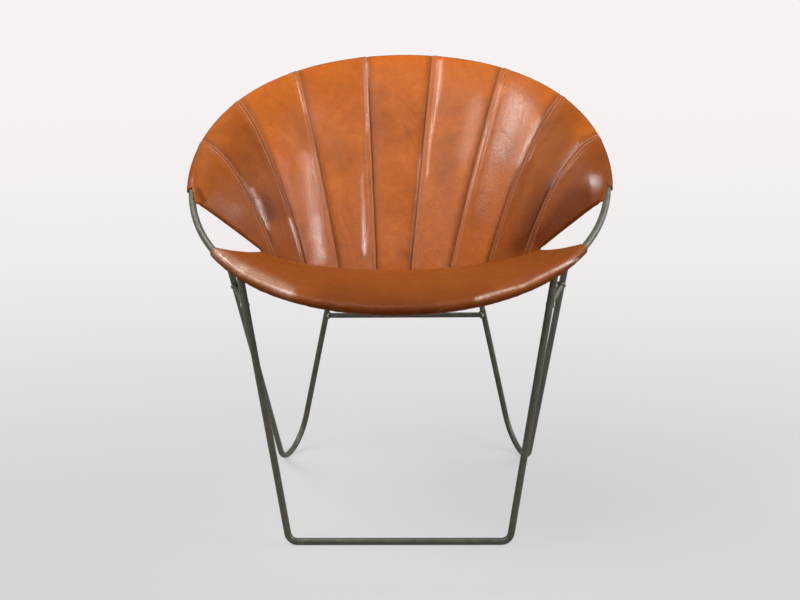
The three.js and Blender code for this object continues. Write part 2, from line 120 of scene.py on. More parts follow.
def rise_and_fall(share, start, full, fall, gone):
    """A smooth 0 up to start, 1 from full to fall, and 0 again from gone."""
    return ease((share - start) / (full - start)) * (1 - ease((share - fall) / (gone - fall)))


def full_turn(count):
    """Even angles once round, without the last one."""
    return np.arange(count) * TAU / count


def new_object(name, points_mm, faces, materials, face_slots=None, crease_angle=35.0):
    """An object at the origin whose mesh holds the points, shaded smooth below the angle."""
    mesh = bpy.data.meshes.new(name)
    points = np.asarray(points_mm, dtype=np.float64).reshape(-1, 3) * MM
    mesh.from_pydata(points.tolist(), [], faces)
    for material in materials:
        mesh.materials.append(material)
    if face_slots is not None:
        mesh.polygons.foreach_set("material_index", np.asarray(face_slots, dtype=np.int32))
    mesh.polygons.foreach_set("use_smooth", np.ones(len(mesh.polygons), dtype=bool))
    mesh.set_sharp_from_angle(angle=math.radians(crease_angle))
    mesh.update()
    made = bpy.data.objects.new(name, mesh)
    bpy.context.scene.collection.objects.link(made)
    return made


def give_attribute(made, key, values):
    """One number for each of the mesh's points, which materials read by its name."""
    layer = made.data.attributes.new(key, "FLOAT", "POINT")
    layer.data.foreach_set("value", np.ravel(values).astype(np.float32))


def take_place(made, node):
    """Puts a piece in a measured node's place, on the chair's one body."""
    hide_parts(node)
    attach(made, "root")


def grid_faces(columns, rows, wrap_columns=False, wrap_rows=False, turn=False):
    """Quads of a grid whose point (i, j) is number i * rows + j."""
    i = np.arange(columns if wrap_columns else columns - 1)
    j = np.arange(rows if wrap_rows else rows - 1)
    i, j = np.meshgrid(i, j, indexing="ij")
    i_next, j_next = (i + 1) % columns, (j + 1) % rows
    corners = [i * rows + j, i_next * rows + j, i_next * rows + j_next, i * rows + j_next]
    quads = np.stack(corners, axis=-1).reshape(-1, 4)
    return quads[:, ::-1] if turn else quads


# %% Tools for colours and shader nodes
def linear(hex_colour):
    """The linear colour of an sRGB hex value, with full opacity."""
    values = [int(hex_colour[k:k + 2], 16) / 255 for k in (1, 3, 5)]
    bent = [v / 12.92 if v <= 0.04045 else ((v + 0.055) / 1.055) ** 2.4 for v in values]
    return (*bent, 1.0)


def add_node(tree, kind, inputs=None, out=0, stops=(), **settings):
    """One shader node: gives back the output that out names, where the node has one.

    inputs are its sockets' values or what feeds them, settings its properties, and stops the
    places of a colour ramp, each with a hex colour or a grey share."""
    node = tree.nodes.new("ShaderNode" + kind)
    for key, value in settings.items():
        setattr(node, key, value)
    for key, value in (inputs or {}).items():
        if isinstance(value, bpy.types.NodeSocket):
            tree.links.new(value, node.inputs[key])
        else:
            node.inputs[key].default_value = value
    if stops:
        elements = node.color_ramp.elements
        while len(elements) < len(stops):
            elements.new(0.5)
        for element, (place, value) in zip(elements, stops):
            element.position = place
            element.color = linear(value) if isinstance(value, str) else (value, value, value, 1.0)
    return node.outputs[out] if len(node.outputs) else None


def new_material(name):
    """An empty material and its node tree."""
    material = bpy.data.materials.new(name)
    material.use_nodes = True
    material.node_tree.nodes.clear()
    return material, material.node_tree


# %% [markdown]
# ## Leather
# The sling is vegetable-tanned cowhide, dyed in the drum and waxed by hand. Vegetable tanning
# leaves the dye uneven, so one hide runs from orange to brown in soft clouds, and the wax gives
# broad, slightly broken highlights. The grain side shows outside, the flesh side is a dull suede
# behind, and the cut edges are dark. Each panel came from another part of the hide, so its own
# number, kept as an attribute, shifts the clouds from panel to panel.

# %% Patterns at a real size
def mapped(tree, size_mm, stretch=(1.0, 1.0, 1.0)):
    """Object coordinates scaled so that one pattern unit is size_mm, shifted by the piece."""
    coordinates = add_node(tree, "TexCoord", out="Object")
    piece = add_node(tree, "Attribute", out="Fac", attribute_name="hide_piece")
    shift = add_node(tree, "CombineXYZ", {"X": piece, "Y": piece, "Z": piece})
    moved = add_node(tree, "VectorMath", {0: coordinates, 1: shift}, operation="ADD")
    scale = [value / (size_mm * MM) for value in stretch]
    return add_node(tree, "Mapping", {"Vector": moved, "Scale": scale})


def clouds_of(tree, size_mm, detail=3.0, rough=0.55, distortion=0.0, stretch=(1.0, 1.0, 1.0)):
    """Soft noise in clouds about size_mm across, between 0 and 1."""
    return add_node(tree, "TexNoise", {
        "Vector": mapped(tree, size_mm, stretch), "Scale": 1.0, "Detail": detail,
        "Roughness": rough, "Distortion": distortion}, out="Fac")


# %% Waxed grain side
# Waxed vegetable-tanned cowhide: a hard, slightly waxy coat over a mottled, even grain.
grain_leather, tree = new_material("waxed_veg_tan_leather")
CLOUD_MM, MOTTLE_MM, SPECK_MM, LIP_HIGHLIGHT_MM, DULL_MM = 85.0, 17.0, 3.2, 6.0, 26.0
FROM_CLOUDS, FROM_MOTTLE, PAINTED_SHADE_DARKENS, WAX_SMOOTHS = 0.62, 0.42, 0.9, 0.15
clouds = clouds_of(tree, CLOUD_MM, detail=4.0, rough=0.6, distortion=0.6)
mottle = clouds_of(tree, MOTTLE_MM, detail=4.0, rough=0.62)
speck = clouds_of(tree, SPECK_MM, detail=2.0, rough=0.6)
cloud_share = add_node(tree, "Math", {0: clouds, 1: FROM_CLOUDS}, operation="MULTIPLY")
depth_of_dye = add_node(tree, "Math", {0: mottle, 1: FROM_MOTTLE, 2: cloud_share},
                        operation="MULTIPLY_ADD")
leather_colour_and_painted_light = add_node(tree, "ValToRGB", {"Fac": depth_of_dye}, stops=[
    (0.33, "#984D17"), (0.44, "#A85819"), (0.54, "#B45E1B"), (0.68, "#C06A22")])

# The tint is above 0 where the dye is more orange, and below 0 where it is browner, from dye
# and from painted shade.
tint = add_node(tree, "Attribute", out="Fac", attribute_name="tint")
warm = add_node(tree, "Math", {0: tint, 1: 0.0}, operation="MAXIMUM", use_clamp=True)
brown = add_node(tree, "Math", {0: tint, 1: -1.0}, operation="MULTIPLY", use_clamp=True)
specks = add_node(tree, "ValToRGB", {"Fac": speck}, stops=[(0.32, 0.35), (0.52, 0.0)])
painted_shade = add_node(tree, "Attribute", out="Fac", attribute_name="painted_shade")
shade = add_node(tree, "Math", {0: painted_shade, 1: PAINTED_SHADE_DARKENS}, operation="MULTIPLY")
# Painted highlight on the lip: a pale cream mixed in, in broken patches.
painted_lip_highlight = add_node(tree, "Attribute", out="Fac", attribute_name="painted_lip_highlight")
lip_highlight_patches = add_node(tree, "ValToRGB", {"Fac": clouds_of(tree, LIP_HIGHLIGHT_MM, detail=4.0, rough=0.7)},
                       stops=[(0.35, 0.35), (0.6, 1.0)])
pale = add_node(tree, "Math", {0: painted_lip_highlight, 1: lip_highlight_patches}, operation="MULTIPLY", use_clamp=True)
# Mixed in: orange and brown dye, where some brown strokes carry painted shade; random dark specks;
# painted shade in the seam grooves, beside the laps, under the lip and on the rim's far side; and a
# painted highlight on the lip.
for share, colour in ((warm, "#CD6411"), (brown, "#6B320D"), (specks, "#8A4416"),
                      (shade, "#4A2210"), (pale, "#D9B9A2")):
    leather_colour_and_painted_light = add_node(tree, "Mix", {0: share, 6: leather_colour_and_painted_light, 7: linear(colour)}, out=2,
                           data_type="RGBA")

# The real grain cells are about 0.6 mm; they're drawn 2.4 mm across so that they show.
GRAIN_MM, CRAZE_MM, CELL_HEIGHT = 2.4, 8.0, 0.45
cells = add_node(tree, "TexVoronoi", {"Vector": mapped(tree, GRAIN_MM), "Scale": 1.0},
                 out="Distance", feature="SMOOTH_F1")
craze = clouds_of(tree, CRAZE_MM, detail=5.0, rough=0.7, distortion=1.2)
grain_height = add_node(tree, "Math", {0: cells, 1: CELL_HEIGHT, 2: craze}, operation="MULTIPLY_ADD")
grain_bump = add_node(tree, "Bump", {"Strength": 0.5, "Distance": 0.0016,
                                     "Height": grain_height})
# Thick wax shines; where it is rubbed thin, the bare grain scatters more.
wax = add_node(tree, "Attribute", out="Fac", attribute_name="wax")
broken = add_node(tree, "ValToRGB", {"Fac": craze}, stops=[(0.36, 0.5), (0.62, 1.15)])
wax = add_node(tree, "Math", {0: wax, 1: broken}, operation="MULTIPLY", use_clamp=True)
dull = add_node(tree, "ValToRGB", {"Fac": clouds_of(tree, DULL_MM, detail=5.0, rough=0.65)},
                stops=[(0.3, 0.45), (0.7, 0.6)])
waxed = add_node(tree, "Math", {0: wax, 1: -WAX_SMOOTHS, 2: dull}, operation="MULTIPLY_ADD")
shader = add_node(tree, "BsdfPrincipled", {
    "Base Color": leather_colour_and_painted_light, "Roughness": waxed, "IOR": 1.5, "Specular IOR Level": 0.02,
    "Coat Weight": wax, "Coat Roughness": 0.2, "Coat IOR": 1.5, "Coat Normal": grain_bump,
    "Normal": grain_bump})
add_node(tree, "OutputMaterial", {"Surface": shader})

# %% Flesh side, cut edge and thread
# Suede flesh side: short loose fibres, so it is dull, pale and faintly streaked.
flesh_leather, tree = new_material("suede_flesh_side")
FIBRE_MM = 4.0
fibres = clouds_of(tree, FIBRE_MM, detail=5.0, rough=0.75, stretch=(1.0, 1.0, 0.45))
flesh_colour = add_node(tree, "ValToRGB", {"Fac": fibres},
                        stops=[(0.3, "#8A5A34"), (0.7, "#B07C4E")])
flesh_bump = add_node(tree, "Bump", {"Strength": 0.5, "Distance": 0.0008, "Height": fibres})
shader = add_node(tree, "BsdfPrincipled", {
    "Base Color": flesh_colour, "Roughness": 0.92, "IOR": 1.45, "Sheen Weight": 0.25,
    "Sheen Roughness": 0.5, "Normal": flesh_bump})
add_node(tree, "OutputMaterial", {"Surface": shader})

# Burnished cut edge: the fibres are pressed flat and dark, with a soft shine.
# Waxed linen thread: a pale twist with a dull shine. Both are fibres at their own scale in mm.
small_finishes = {}
for name, size_mm, detail, dark, light, rough in (
        ("burnished_cut_edge", 2.5, 3.0, "#5A2E14", "#7E451F", 0.55),
        ("waxed_linen_thread", 1.5, 2.0, "#86623F", "#B08D6C", 0.6)):
    small_finishes[name], tree = new_material(name)
    fibres = clouds_of(tree, size_mm, detail=detail)
    fibre_colour = add_node(tree, "ValToRGB", {"Fac": fibres}, stops=[(0.3, dark), (0.7, light)])
    shader = add_node(tree, "BsdfPrincipled", {"Base Color": fibre_colour, "Roughness": rough,
                                               "IOR": 1.5})
    add_node(tree, "OutputMaterial", {"Surface": shader})
edge_leather, waxed_thread = small_finishes.values()

# %% [markdown]
# ## Steel
# The rods are raw mild steel, bent cold, with their dark oxide skin left on under clear wax. Oxide
# isn't a metal to the light, so the rods aren't drawn as bare metal: that would mirror the lamps as
# white bands. The wax turns the grey a little olive and lies slightly uneven. The weld beads are
# rougher, with a brown and blue heat tint.

# %% Waxed rod and weld metal
# Waxed raw steel with its oxide skin: satin, dark olive grey, with soft streaks.
rod_steel, tree = new_material("waxed_raw_steel_rod")
STREAK_MM, PATCH_MM = 14.0, 55.0
streaks = clouds_of(tree, STREAK_MM, detail=4.0, rough=0.6)
patches = clouds_of(tree, PATCH_MM, detail=3.0)
streak_colour = add_node(tree, "ValToRGB", {"Fac": streaks},
                         stops=[(0.3, "#47453B"), (0.7, "#625F53")])
steel_colour = add_node(tree, "Mix", {0: patches, 6: streak_colour, 7: linear("#524F45")},
                        out=2, data_type="RGBA")
steel_rough = add_node(tree, "ValToRGB", {"Fac": streaks}, stops=[(0.3, 0.3), (0.7, 0.44)])
# The wax's unevenness is about 0.5 mm across; it is drawn 1.2 mm across so that it shows.
PEEL_MM = 1.2
peel = clouds_of(tree, PEEL_MM, detail=2.0)
steel_bump = add_node(tree, "Bump", {"Strength": 0.06, "Distance": 0.0004, "Height": peel})
shader = add_node(tree, "BsdfPrincipled", {
    "Base Color": steel_colour, "Metallic": 0.0, "Roughness": steel_rough,
    "Specular IOR Level": 0.1, "Normal": steel_bump})
add_node(tree, "OutputMaterial", {"Surface": shader})

# Weld metal: a rippled bead, duller than the rod, tinted brown by its own heat.
weld_metal, tree = new_material("heat_tinted_weld_metal")
SCALE_MM = 3.0
scale_spots = clouds_of(tree, SCALE_MM, detail=4.0)
weld_colour = add_node(tree, "ValToRGB", {"Fac": scale_spots},
                       stops=[(0.35, "#4A443B"), (0.55, "#6E675A"), (0.7, "#8C8577")])
weld_bump = add_node(tree, "Bump", {"Strength": 0.3, "Distance": 0.0005, "Height": scale_spots})
shader = add_node(tree, "BsdfPrincipled", {"Base Color": weld_colour, "Metallic": 0.3,
                                           "Roughness": 0.5, "Normal": weld_bump})
add_node(tree, "OutputMaterial", {"Surface": shader})
print("finishes:", ", ".join(sorted(
    made.name for made in (grain_leather, *small_finishes.values(), rod_steel, weld_metal))))

# %% [markdown]
# ## The hoop's shape
# The rim is one rod bent to an almost round ring and tilted up towards the back. A plain circle
# would do, but the real ring is a little square and a little egg-shaped, so its radius has two
# small waves. All lengths are in millimetres until a mesh is made.

# %% Hoop
HOOP_RADIUS, HOOP_ROD_RADIUS, HOOP_HEIGHT = 365.0, 6.0, 592.0
HOOP_TILT = math.radians(29.5)
HOOP_EGG_SHARE, HOOP_SQUARE_SHARE = 0.005, 0.012
LEATHER, LEATHER_GAP = 2.4, 0.7
WRAP_RADIUS = HOOP_ROD_RADIUS + LEATHER_GAP + LEATHER / 2
LAYER = LEATHER + LEATHER_GAP
ACROSS = np.array([1.0, 0.0, 0.0])
UP_SLOPE = np.array([0.0, math.cos(HOOP_TILT), math.sin(HOOP_TILT)])
HOOP_NORMAL = np.array([0.0, -math.sin(HOOP_TILT), math.cos(HOOP_TILT)])
HOOP_MIDDLE = np.array([0.0, 0.0, HOOP_HEIGHT])


def hoop_outward(angle):
    """Away from the hoop's centre: sine of the angle across, minus its cosine up the slope."""
    angle = np.asarray(angle, dtype=float)[..., None]
    return np.sin(angle) * ACROSS - np.cos(angle) * UP_SLOPE


def hoop_centre(angle):
    """The rod's centreline: radius times (1 - egg cos 3a - square cos 4a), outwards."""
    angle = np.asarray(angle, dtype=float)
    wave = HOOP_EGG_SHARE * np.cos(3 * angle) + HOOP_SQUARE_SHARE * np.cos(4 * angle)
    return HOOP_MIDDLE + (HOOP_RADIUS * (1 - wave))[..., None] * hoop_outward(angle)


def hoop_around(angle, turn):
    """A direction in the rod's section: outwards at turn 0, square to the hoop at a quarter."""
    turn = np.asarray(turn, dtype=float)[..., None]
    return np.cos(turn) * hoop_outward(angle) + np.sin(turn) * HOOP_NORMAL


def hoop_tangent(angle, step=0.002):
    """The way along the rod, from two points a little apart."""
    angle = np.asarray(angle, dtype=float)
    return unit(hoop_centre(angle + step) - hoop_centre(angle - step))


print("hoop front and back, mm:", hoop_centre(0.0).round(1), hoop_centre(math.pi).round(1))

# %% [markdown]
# ## Rods, coped ends and weld beads
# A rod is a circle carried along a bent line. Where it meets another rod its end is coped, cut
# to the other rod's roundness, and a bead of weld follows that same saddle curve. A curve object
# with a bevel would be quicker, but its ends would be flat and would sink into the hoop.

# %% Rods
ROD_SIDES, BEND_STEPS, ROD_GAP = 28, 22, 0.3
# A direction that no rod runs along, to start each rod's own frame from.
NO_RODS_WAY = np.array([0.31, 0.17, 0.93])


def rounded_path(corners, bend_radius):
    """Points through the corners, each corner replaced by an arc that touches both sides."""
    points = [corners[0]]
    for before, corner, after in zip(corners, corners[1:], corners[2:]):
        back, on = unit(before - corner), unit(after - corner)
        half = math.acos(float(np.clip(dot(back, on), -1, 1))) / 2
        middle = unit(back + on)
        centre = corner + middle * bend_radius / math.sin(half)
        side = unit(on - back)
        sweep = math.pi / 2 - half
        turns = np.linspace(-sweep, sweep, BEND_STEPS)[:, None]
        points.extend(centre - middle * bend_radius * np.cos(turns)
                      + side * bend_radius * np.sin(turns))
    return np.array(points + [corners[-1]])


def frames_along(points):
    """Two directions square to the path at each point, turned as little as possible."""
    ahead = unit(np.diff(points, axis=0))
    tangents = unit(np.vstack([ahead[:1], ahead[:-1] + ahead[1:], ahead[-1:]]))
    first = [unit(np.cross(tangents[0], NO_RODS_WAY))]
    for tangent in tangents[1:]:
        first.append(unit(first[-1] - tangent * dot(first[-1], tangent)))
    first = np.array(first)
    return tangents, first, np.cross(tangents, first)


# %% Ends coped to another rod
def saddle_reach(outward, branch, target, branch_radius, target_radius):
    """How far along the branch each line of its surface goes before it meets the target.

    The line starts branch_radius off the branch's centre. Its distance from the target's
    centreline is target_radius where a quadratic in the way along the branch is zero."""
    foot = outward * branch_radius
    start = foot - dot(foot, target)[..., None] * target
    rise = branch - dot(branch, target) * target
    slope, steep = start @ rise, float(dot(rise, rise))
    room = np.maximum(slope ** 2 - steep * (dot(start, start) - target_radius ** 2), 0)
    return (np.sqrt(room) - slope) / steep


def rod_grid(path, radius, start=None, end=None):
    """Rings of points round the path. start and end name the rod that each end is coped to,
    as (that rod's direction, its radius), and move the first and last ring onto it."""
    tangents, first, second = frames_along(path)
    turns = full_turn(ROD_SIDES)[:, None]
    outward = np.cos(turns) * first[:, None] + np.sin(turns) * second[:, None]
    rings = path[:, None] + radius * outward
    for index, sign, target in ((0, 1, start), (-1, -1, end)):
        if target is None:
            continue
        direction, target_radius = target
        branch = sign * tangents[index]
        reach = saddle_reach(outward[index], branch, direction, radius, target_radius + ROD_GAP)
        rings[index] = path[index] + radius * outward[index] + reach[:, None] * branch
    return rings


def rod_object(name, node, path, radius, start=None, end=None, floor=False):
    """A closed round rod along the path, in a measured rod's place, ends filled with a fan."""
    rings = rod_grid(path, radius, start, end)
    if floor:
        rings[..., 2] = np.maximum(rings[..., 2], 0.0)
    points = np.vstack([rings.reshape(-1, 3), rings[0].mean(axis=0), rings[-1].mean(axis=0)])
    total = rings.shape[0] * ROD_SIDES
    around = np.arange(ROD_SIDES)
    nearby, tail_ring = (around + 1) % ROD_SIDES, total - ROD_SIDES
    head = np.stack([np.full(ROD_SIDES, total), nearby, around], axis=-1)
    tail = np.stack([np.full(ROD_SIDES, total + 1), tail_ring + around, tail_ring + nearby],
                    axis=-1)
    sides = grid_faces(len(rings), ROD_SIDES, wrap_rows=True, turn=True)
    made = new_object(name, points, sides.tolist() + head.tolist() + tail.tolist(), [rod_steel])
    take_place(made, node)


# %% Weld beads
BEAD_RADIUS, BEAD_STANDOFF = 2.0, 0.6
BEAD_STATIONS, BEAD_SIDES = 120, 12
BEAD_RIPPLES, RIPPLE_SHARE, SWELL_SHARE = 26, 0.10, 0.12
GROUND_LEAST, GROUND_REST, GROUND_REACH = 0.25, 0.4, 5.0


def bead_object(name, meeting, target, branch, target_radius, branch_radius, ground=False):
    """A bead round the saddle where the branch's surface meets the target's.

    Its radius has one wave for each ripple and one slow swell, both sines of the way round."""
    first = unit(np.cross(branch, target))
    second = np.cross(first, branch)
    turn = full_turn(BEAD_STATIONS)
    outward = np.cos(turn)[:, None] * first + np.sin(turn)[:, None] * second
    reach = saddle_reach(outward, branch, target, branch_radius + BEAD_STANDOFF,
                         target_radius + BEAD_STANDOFF)
    middle = meeting + outward * (branch_radius + BEAD_STANDOFF) + reach[:, None] * branch
    # Under the wrapped leather the bead is ground down, and it is thinnest at the rod's sides.
    full = GROUND_LEAST + GROUND_REST * ease(reach / GROUND_REACH) if ground else 1.0
    ripple = 1 + RIPPLE_SHARE * np.sin(BEAD_RIPPLES * turn) + SWELL_SHARE * np.sin(2 * turn + 1.0)
    size = BEAD_RADIUS * ripple * full
    roll = full_turn(BEAD_SIDES)[:, None]
    rings = (middle[:, None] + size[:, None, None]
             * (np.cos(roll) * outward[:, None] + np.sin(roll) * branch))
    faces = grid_faces(BEAD_STATIONS, BEAD_SIDES, wrap_columns=True, wrap_rows=True, turn=True)
    take_place(new_object(name, rings, faces.tolist(), [weld_metal]), name)


# %% [markdown]
# ## The steel frame
# The front leg is one rod: down from the hoop, along the floor and up again. Each rear leg is
# one rod from the front of the hoop back to a wide bend on the floor and up to the hoop's back.
# A crossbar ties the two uprights, and a short brace ties front and rear leg on each side.

# %% Hoop and front leg loop
FRONT_RADIUS, FRONT_ANGLE, FRONT_BEND = 6.0, math.radians(44), 17.0
FRONT_HALF_WIDTH, FRONT_FORWARD, FLAT_DEPTH = 184.7, 248.5, 0.3
HOOP_STATIONS = 320

hoop_angles = full_turn(HOOP_STATIONS)
hoop_rings = (hoop_centre(hoop_angles)[:, None]
              + HOOP_ROD_RADIUS * hoop_around(hoop_angles[:, None], -full_turn(ROD_SIDES)))
hoop_faces = grid_faces(HOOP_STATIONS, ROD_SIDES, wrap_columns=True, wrap_rows=True)
rim_hoop = new_object("bent_rim_hoop", hoop_rings, hoop_faces.tolist(), [rod_steel])
take_place(rim_hoop, "rim_hoop")


def front_corner(side):
    """The front leg's corner on the floor, at its centreline."""
    return np.array([side * FRONT_HALF_WIDTH, -FRONT_FORWARD, FRONT_RADIUS - FLAT_DEPTH])


front_tops = {side: hoop_centre(side * FRONT_ANGLE) for side in (-1, 1)}
front_path = rounded_path([front_tops[-1], front_corner(-1), front_corner(1), front_tops[1]],
                          FRONT_BEND)
front_tangents = {side: hoop_tangent(side * FRONT_ANGLE) for side in (-1, 1)}
rod_object("bent_front_leg_loop", "front_leg_loop", front_path, FRONT_RADIUS,
           start=(front_tangents[-1], HOOP_ROD_RADIUS),
           end=(front_tangents[1], HOOP_ROD_RADIUS), floor=True)
print("front leg rod, mm:", round(float(gaps_along(front_path).sum())))

# %% Rear legs, braces, crossbar and their welds
REAR_RADIUS, REAR_ANGLE, REAR_BEND = 5.5, math.radians(48), 68.0
REAR_HALF_WIDTH, REAR_BACK, UPRIGHT_ANGLE = 232.0, 325.0, math.radians(172.2)
BAR_RADIUS, BAR_HEIGHT = 5.0, 271.0
BRACE_RADIUS, BRACE_REAR_DROP, BRACE_FRONT_DROP = 5.0, 54.0, 57.0
FLOOR_PASSES = 20


def rear_corners(side):
    """Top, floor corner and head of a rear leg. The corner's height is stepped until the
    lowest point of the bend, with the rod's own radius, stands on the floor."""
    top, head = hoop_centre(side * REAR_ANGLE), hoop_centre(side * UPRIGHT_ANGLE)
    corner = np.array([side * REAR_HALF_WIDTH, REAR_BACK, 0.0])
    for _ in range(FLOOR_PASSES):
        ahead, up = unit(top - corner), unit(head - corner)
        half = math.acos(float(dot(ahead, up))) / 2
        plane = unit(np.cross(ahead, up))
        reach = unit(ahead + up)[2] * REAR_BEND / math.sin(half)
        fall = REAR_BEND * math.sqrt(1 - plane[2] ** 2)
        corner[2] = REAR_RADIUS - FLAT_DEPTH - reach + fall
    return top, corner, head


rod_heads = {"seat": [], "back": []}
bar_ends, upright_ways = [], []
for side, hand in ((-1, "left"), (1, "right")):
    top, corner, head = rear_corners(side)
    rear_tangent, head_tangent = hoop_tangent(side * REAR_ANGLE), hoop_tangent(side * UPRIGHT_ANGLE)
    rod_object(f"bent_rear_leg_{hand}", f"rear_leg_{hand}",
               rounded_path([top, corner, head], REAR_BEND), REAR_RADIUS,
               start=(rear_tangent, HOOP_ROD_RADIUS), end=(head_tangent, HOOP_ROD_RADIUS),
               floor=True)
    front_way = unit(front_corner(side) - front_tops[side])
    rear_way, upright_way = unit(corner - top), unit(corner - head)
    for rod, meeting, tangent, way, rod_radius in (
            ("front_leg", front_tops[side], front_tangents[side], front_way, FRONT_RADIUS),
            ("rear_leg", top, rear_tangent, rear_way, REAR_RADIUS),
            ("upright", head, head_tangent, upright_way, REAR_RADIUS)):
        bead_object(f"weld_{rod}_{hand}", meeting, tangent, way, HOOP_ROD_RADIUS, rod_radius,
                    ground=True)
    rod_heads["seat"] += [(front_tops[side], front_way, FRONT_RADIUS), (top, rear_way, REAR_RADIUS)]
    rod_heads["back"].append((head, upright_way, REAR_RADIUS))

    brace_rear = top + rear_way * BRACE_REAR_DROP
    brace_front = front_tops[side] + front_way * BRACE_FRONT_DROP
    brace_way = unit(brace_front - brace_rear)
    rod_object(f"round_side_brace_{hand}", f"side_brace_{hand}",
               np.array([brace_rear, brace_front]), BRACE_RADIUS,
               start=(rear_way, REAR_RADIUS), end=(front_way, FRONT_RADIUS))
    bead_object(f"weld_brace_rear_{hand}", brace_rear, rear_way, brace_way,
                REAR_RADIUS, BRACE_RADIUS)
    bead_object(f"weld_brace_front_{hand}", brace_front, front_way, -brace_way,
                FRONT_RADIUS, BRACE_RADIUS)
    bar_ends.append(head + upright_way * (head[2] - BAR_HEIGHT) / -upright_way[2])
    upright_ways.append(upright_way)

rod_object("round_rear_crossbar", "rear_crossbar", np.array(bar_ends), BAR_RADIUS,
           start=(upright_ways[0], REAR_RADIUS), end=(upright_ways[1], REAR_RADIUS))
for index, hand in ((0, "left"), (1, "right")):
    bead_object(f"weld_crossbar_{hand}", bar_ends[index], upright_ways[index],
                unit(bar_ends[1 - index] - bar_ends[index]), REAR_RADIUS, BAR_RADIUS)
print("crossbar, mm:", round(float(np.linalg.norm(bar_ends[1] - bar_ends[0])), 1))

# %% [markdown]
# ## How the leather runs
# Each line of leather leaves the hoop at a tangent and bends down to the crease, the curve where
# back and seat are sewn together. Cloth simulation could hang the bucket, but the real one is cut
# to shape and drawn tight, so every line is a short Bezier curve between two known ends.

# %% The crease and the runs
CREASE_HALF_WIDTH, CREASE_SHIFT, CREASE_BACK = 240.0, 16.0, 80.0
CREASE_HEIGHT, CREASE_END_HEIGHT, CREASE_SEAM_DEPTH = 360.0, 452.7, 12.0
CREASE_DRAWN_FROM_SHARE, CREASE_DRAWN_IN, CREASE_DRAWN_DOWN = 0.55, 6.0, 8.5
CREASE_SHARES = [-0.142, 0.142, 0.41, 0.68, 0.955, 1.0]
FAN_PANELS, PANEL_ANGLE, FAN_DRIFT = 9, math.radians(21.6), math.radians(0.9)
EDGE_ANGLE, EDGE_INNER_ANGLE = math.radians(82.8), math.radians(76.4)
FAN_SKEW_SHARE, FAN_LIFT = 0.415, math.radians(69)
FAN_BOWS = [3.0, 3.0, 11.0, 32.0, 35.0, 0.0]
SEAT_HALF_ANGLE = math.radians(57.2)
SEAT_CENTRE_DIP, SEAT_SIDE_DIP = math.radians(19.8), math.radians(36.8)
SEAT_FRONT_SHARE, SEAT_BACK_SHARE = 0.528, 0.238
SEAT_RISE, SEAT_SPLAY_SHARE = math.radians(51.5), 0.379
DIP_PASSES, CHORDS, SHARE_STEP = 12, 24, 0.001


def crease_point(share):
    """Across by the share, with a parabola that is 1 in the middle giving shift, depth back
    and drop. The weight on the seam draws both ends in and down a little."""
    share = np.asarray(share, dtype=float)
    middle = 1 - share * share
    drawn = ease((np.abs(share) - CREASE_DRAWN_FROM_SHARE) / (1 - CREASE_DRAWN_FROM_SHARE))
    across = CREASE_HALF_WIDTH * share - CREASE_DRAWN_IN * np.sign(share) * drawn
    height = CREASE_END_HEIGHT + (CREASE_HEIGHT - CREASE_END_HEIGHT) * middle
    return np.stack([across - CREASE_SHIFT * middle, CREASE_BACK * middle,
                     height - CREASE_DRAWN_DOWN * drawn], axis=-1)


def crease_frame(share):
    """The way the sewn seam hangs, square to the crease, and the way straight behind it."""
    tangent = unit(crease_point(share + SHARE_STEP) - crease_point(share - SHARE_STEP))
    down = np.array([0.0, 0.0, -1.0])
    hang = unit(down - dot(tangent, down)[..., None] * tangent)
    return hang, unit(np.cross(tangent, hang))


def crease_side(share, sign):
    """The crease as one layer meets it, half a layer to the back or the front."""
    return crease_point(share) + sign * LAYER / 2 * crease_frame(share)[1]


print("crease ends, mm:", crease_point(-1.0).round(1), crease_point(1.0).round(1))


# %% The back's lines
def fan_hoop_angle(fan, edge):
    """Where a fan angle lies on the hoop: even round the back, and beyond the last seam
    straight on to the edge angle."""
    even = math.pi + FAN_DRIFT - fan
    beyond = np.maximum(np.abs(fan) / PANEL_ANGLE - (FAN_PANELS / 2 - 1), 0)
    last = math.pi + FAN_DRIFT - np.sign(fan) * (FAN_PANELS / 2 - 1) * PANEL_ANGLE
    target = np.where(fan > 0, edge, TAU - edge)
    return np.where(beyond > 0, last + (target - last) * beyond, even)


def across_fan(fan, values):
    """Values given at the centre, the seams and the edge, joined by straight stretches."""
    return np.interp(np.abs(fan) / PANEL_ANGLE + 0.5, np.arange(len(values)), values)


def fan_run(fan):
    """The back's line at a fan angle: its hoop angles, dip, crease share and Bezier points."""
    outer, inner = fan_hoop_angle(fan, EDGE_ANGLE), fan_hoop_angle(fan, EDGE_INNER_ANGLE)
    share = np.sign(fan) * across_fan(fan, CREASE_SHARES)
    bow = across_fan(fan, FAN_BOWS)[..., None]
    end = crease_side(share, 1)
    inward = -math.cos(FAN_LIFT) * hoop_outward(inner) + math.sin(FAN_LIFT) * HOOP_NORMAL
    dip = np.full_like(fan, HOOP_TILT)
    for _ in range(DIP_PASSES):
        start = hoop_centre(inner) + WRAP_RADIUS * hoop_around(inner, math.pi / 2 + dip)
        control = start + FAN_SKEW_SHARE * (end - start) + 2 * bow * inward
        run = control - start
        dip = np.arctan2(-(run @ HOOP_NORMAL), -dot(run, hoop_outward(inner)))
    curve = (start, start + (control - start) * 2 / 3, end + (control - end) * 2 / 3, end)
    return outer, inner, dip, share, curve


